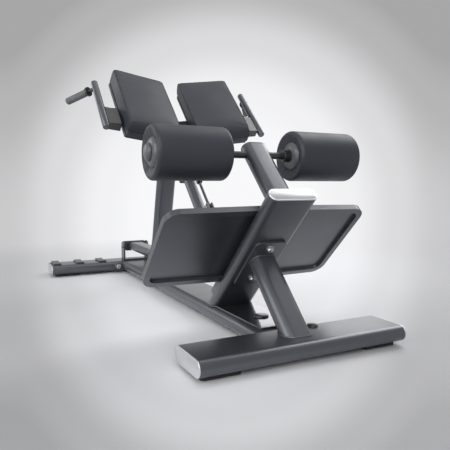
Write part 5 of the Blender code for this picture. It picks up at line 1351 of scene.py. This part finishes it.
# Far away the floor glows with the painted falloff. This glow is painted light, not a lamp.
painted_floor_glow = add_node(tree, "ShaderNodeEmission", {"Color": floor_painted_falloff})
GLOW_FROM = 0.85
GLOW_FULL_AT = 2.3
how_far = add_node(tree, "ShaderNodeVectorMath", {0: place}, operation="LENGTH")
fade = add_node(tree, "ShaderNodeMapRange",
                {"Value": how_far.outputs["Value"], "From Min": GLOW_FROM,
                 "From Max": GLOW_FULL_AT}, interpolation_type="SMOOTHSTEP")
faded = add_node(tree, "ShaderNodeMixShader", {"Fac": fade.outputs["Result"],
                                               1: shader.outputs["BSDF"],
                                               2: painted_floor_glow.outputs["Emission"]})
tree.links.new(faded.outputs["Shader"], tree.nodes["Material Output"].inputs["Surface"])
floor_mesh.materials.append(floor_finish)

world = bpy.data.worlds.new("pale_studio")
scene.world = world
world.use_nodes = True
tree = world.node_tree
looking = add_node(tree, "ShaderNodeTexCoord").outputs["Generated"]
rays = add_node(tree, "ShaderNodeLightPath")
seen = work_out(tree, "MAXIMUM", rays.outputs["Is Camera Ray"], rays.outputs["Is Glossy Ray"])
seen = work_out(tree, "MAXIMUM", seen, rays.outputs["Is Transmission Ray"])
# Camera, glossy and transmission rays see the painted falloff of light. Other rays see a flat grey
# that lights the scene.
shown_light = add_node(tree, "ShaderNodeMix", {"Factor": seen}, data_type="RGBA")
shown_light.inputs["A"].default_value = (0.295, 0.30, 0.315, 1.0)
tree.links.new(painted_falloff_colour(tree, looking), shown_light.inputs["B"])
tree.links.new(shown_light.outputs["Result"], tree.nodes["Background"].inputs["Color"])


def add_softbox(name, location, target, size, power, spread=180.0):
    """A square area lamp aimed at a point, which may be narrowed to a spread in degrees."""
    lamp = bpy.data.lights.new(name, "AREA")
    lamp.shape = "SQUARE"
    lamp.size = size
    lamp.energy = power
    lamp.spread = math.radians(spread)
    made = bpy.data.objects.new(name, lamp)
    scene.collection.objects.link(made)
    made.visible_camera = False
    made.location = location
    aim = Vector(target) - Vector(location)
    made.rotation_euler = aim.to_track_quat("-Z", "Y").to_euler()


add_softbox("key_softbox", (2.3, 0.4, 2.5), (0.1, 0.0, 0.2), 2.0, 38.0)
add_softbox("top_softbox", (0.0, 0.5, 3.1), (0.0, 0.0, 0.3), 2.6, 12.0)
add_softbox("pad_softbox", (1.5, -0.7, 3.0), (0.0, -0.1, 0.4), 1.8, 6.0)
add_softbox("left_softbox", (-2.2, 2.6, 1.5), (0.0, 0.0, 0.4), 1.4, 12.0)
add_softbox("right_softbox", (2.7, 2.7, 1.5), (0.1, -0.4, 0.1), 1.8, 10.0)
add_softbox("rear_softbox", (-1.5, -3.3, 2.2), (0.0, -0.3, 0.3), 2.4, 58.0)
add_softbox("side_softbox", (-2.8, -0.6, 1.5), (0.0, 0.1, 0.75), 2.2, 13.0, 90.0)
scene.view_settings.view_transform = "Standard"
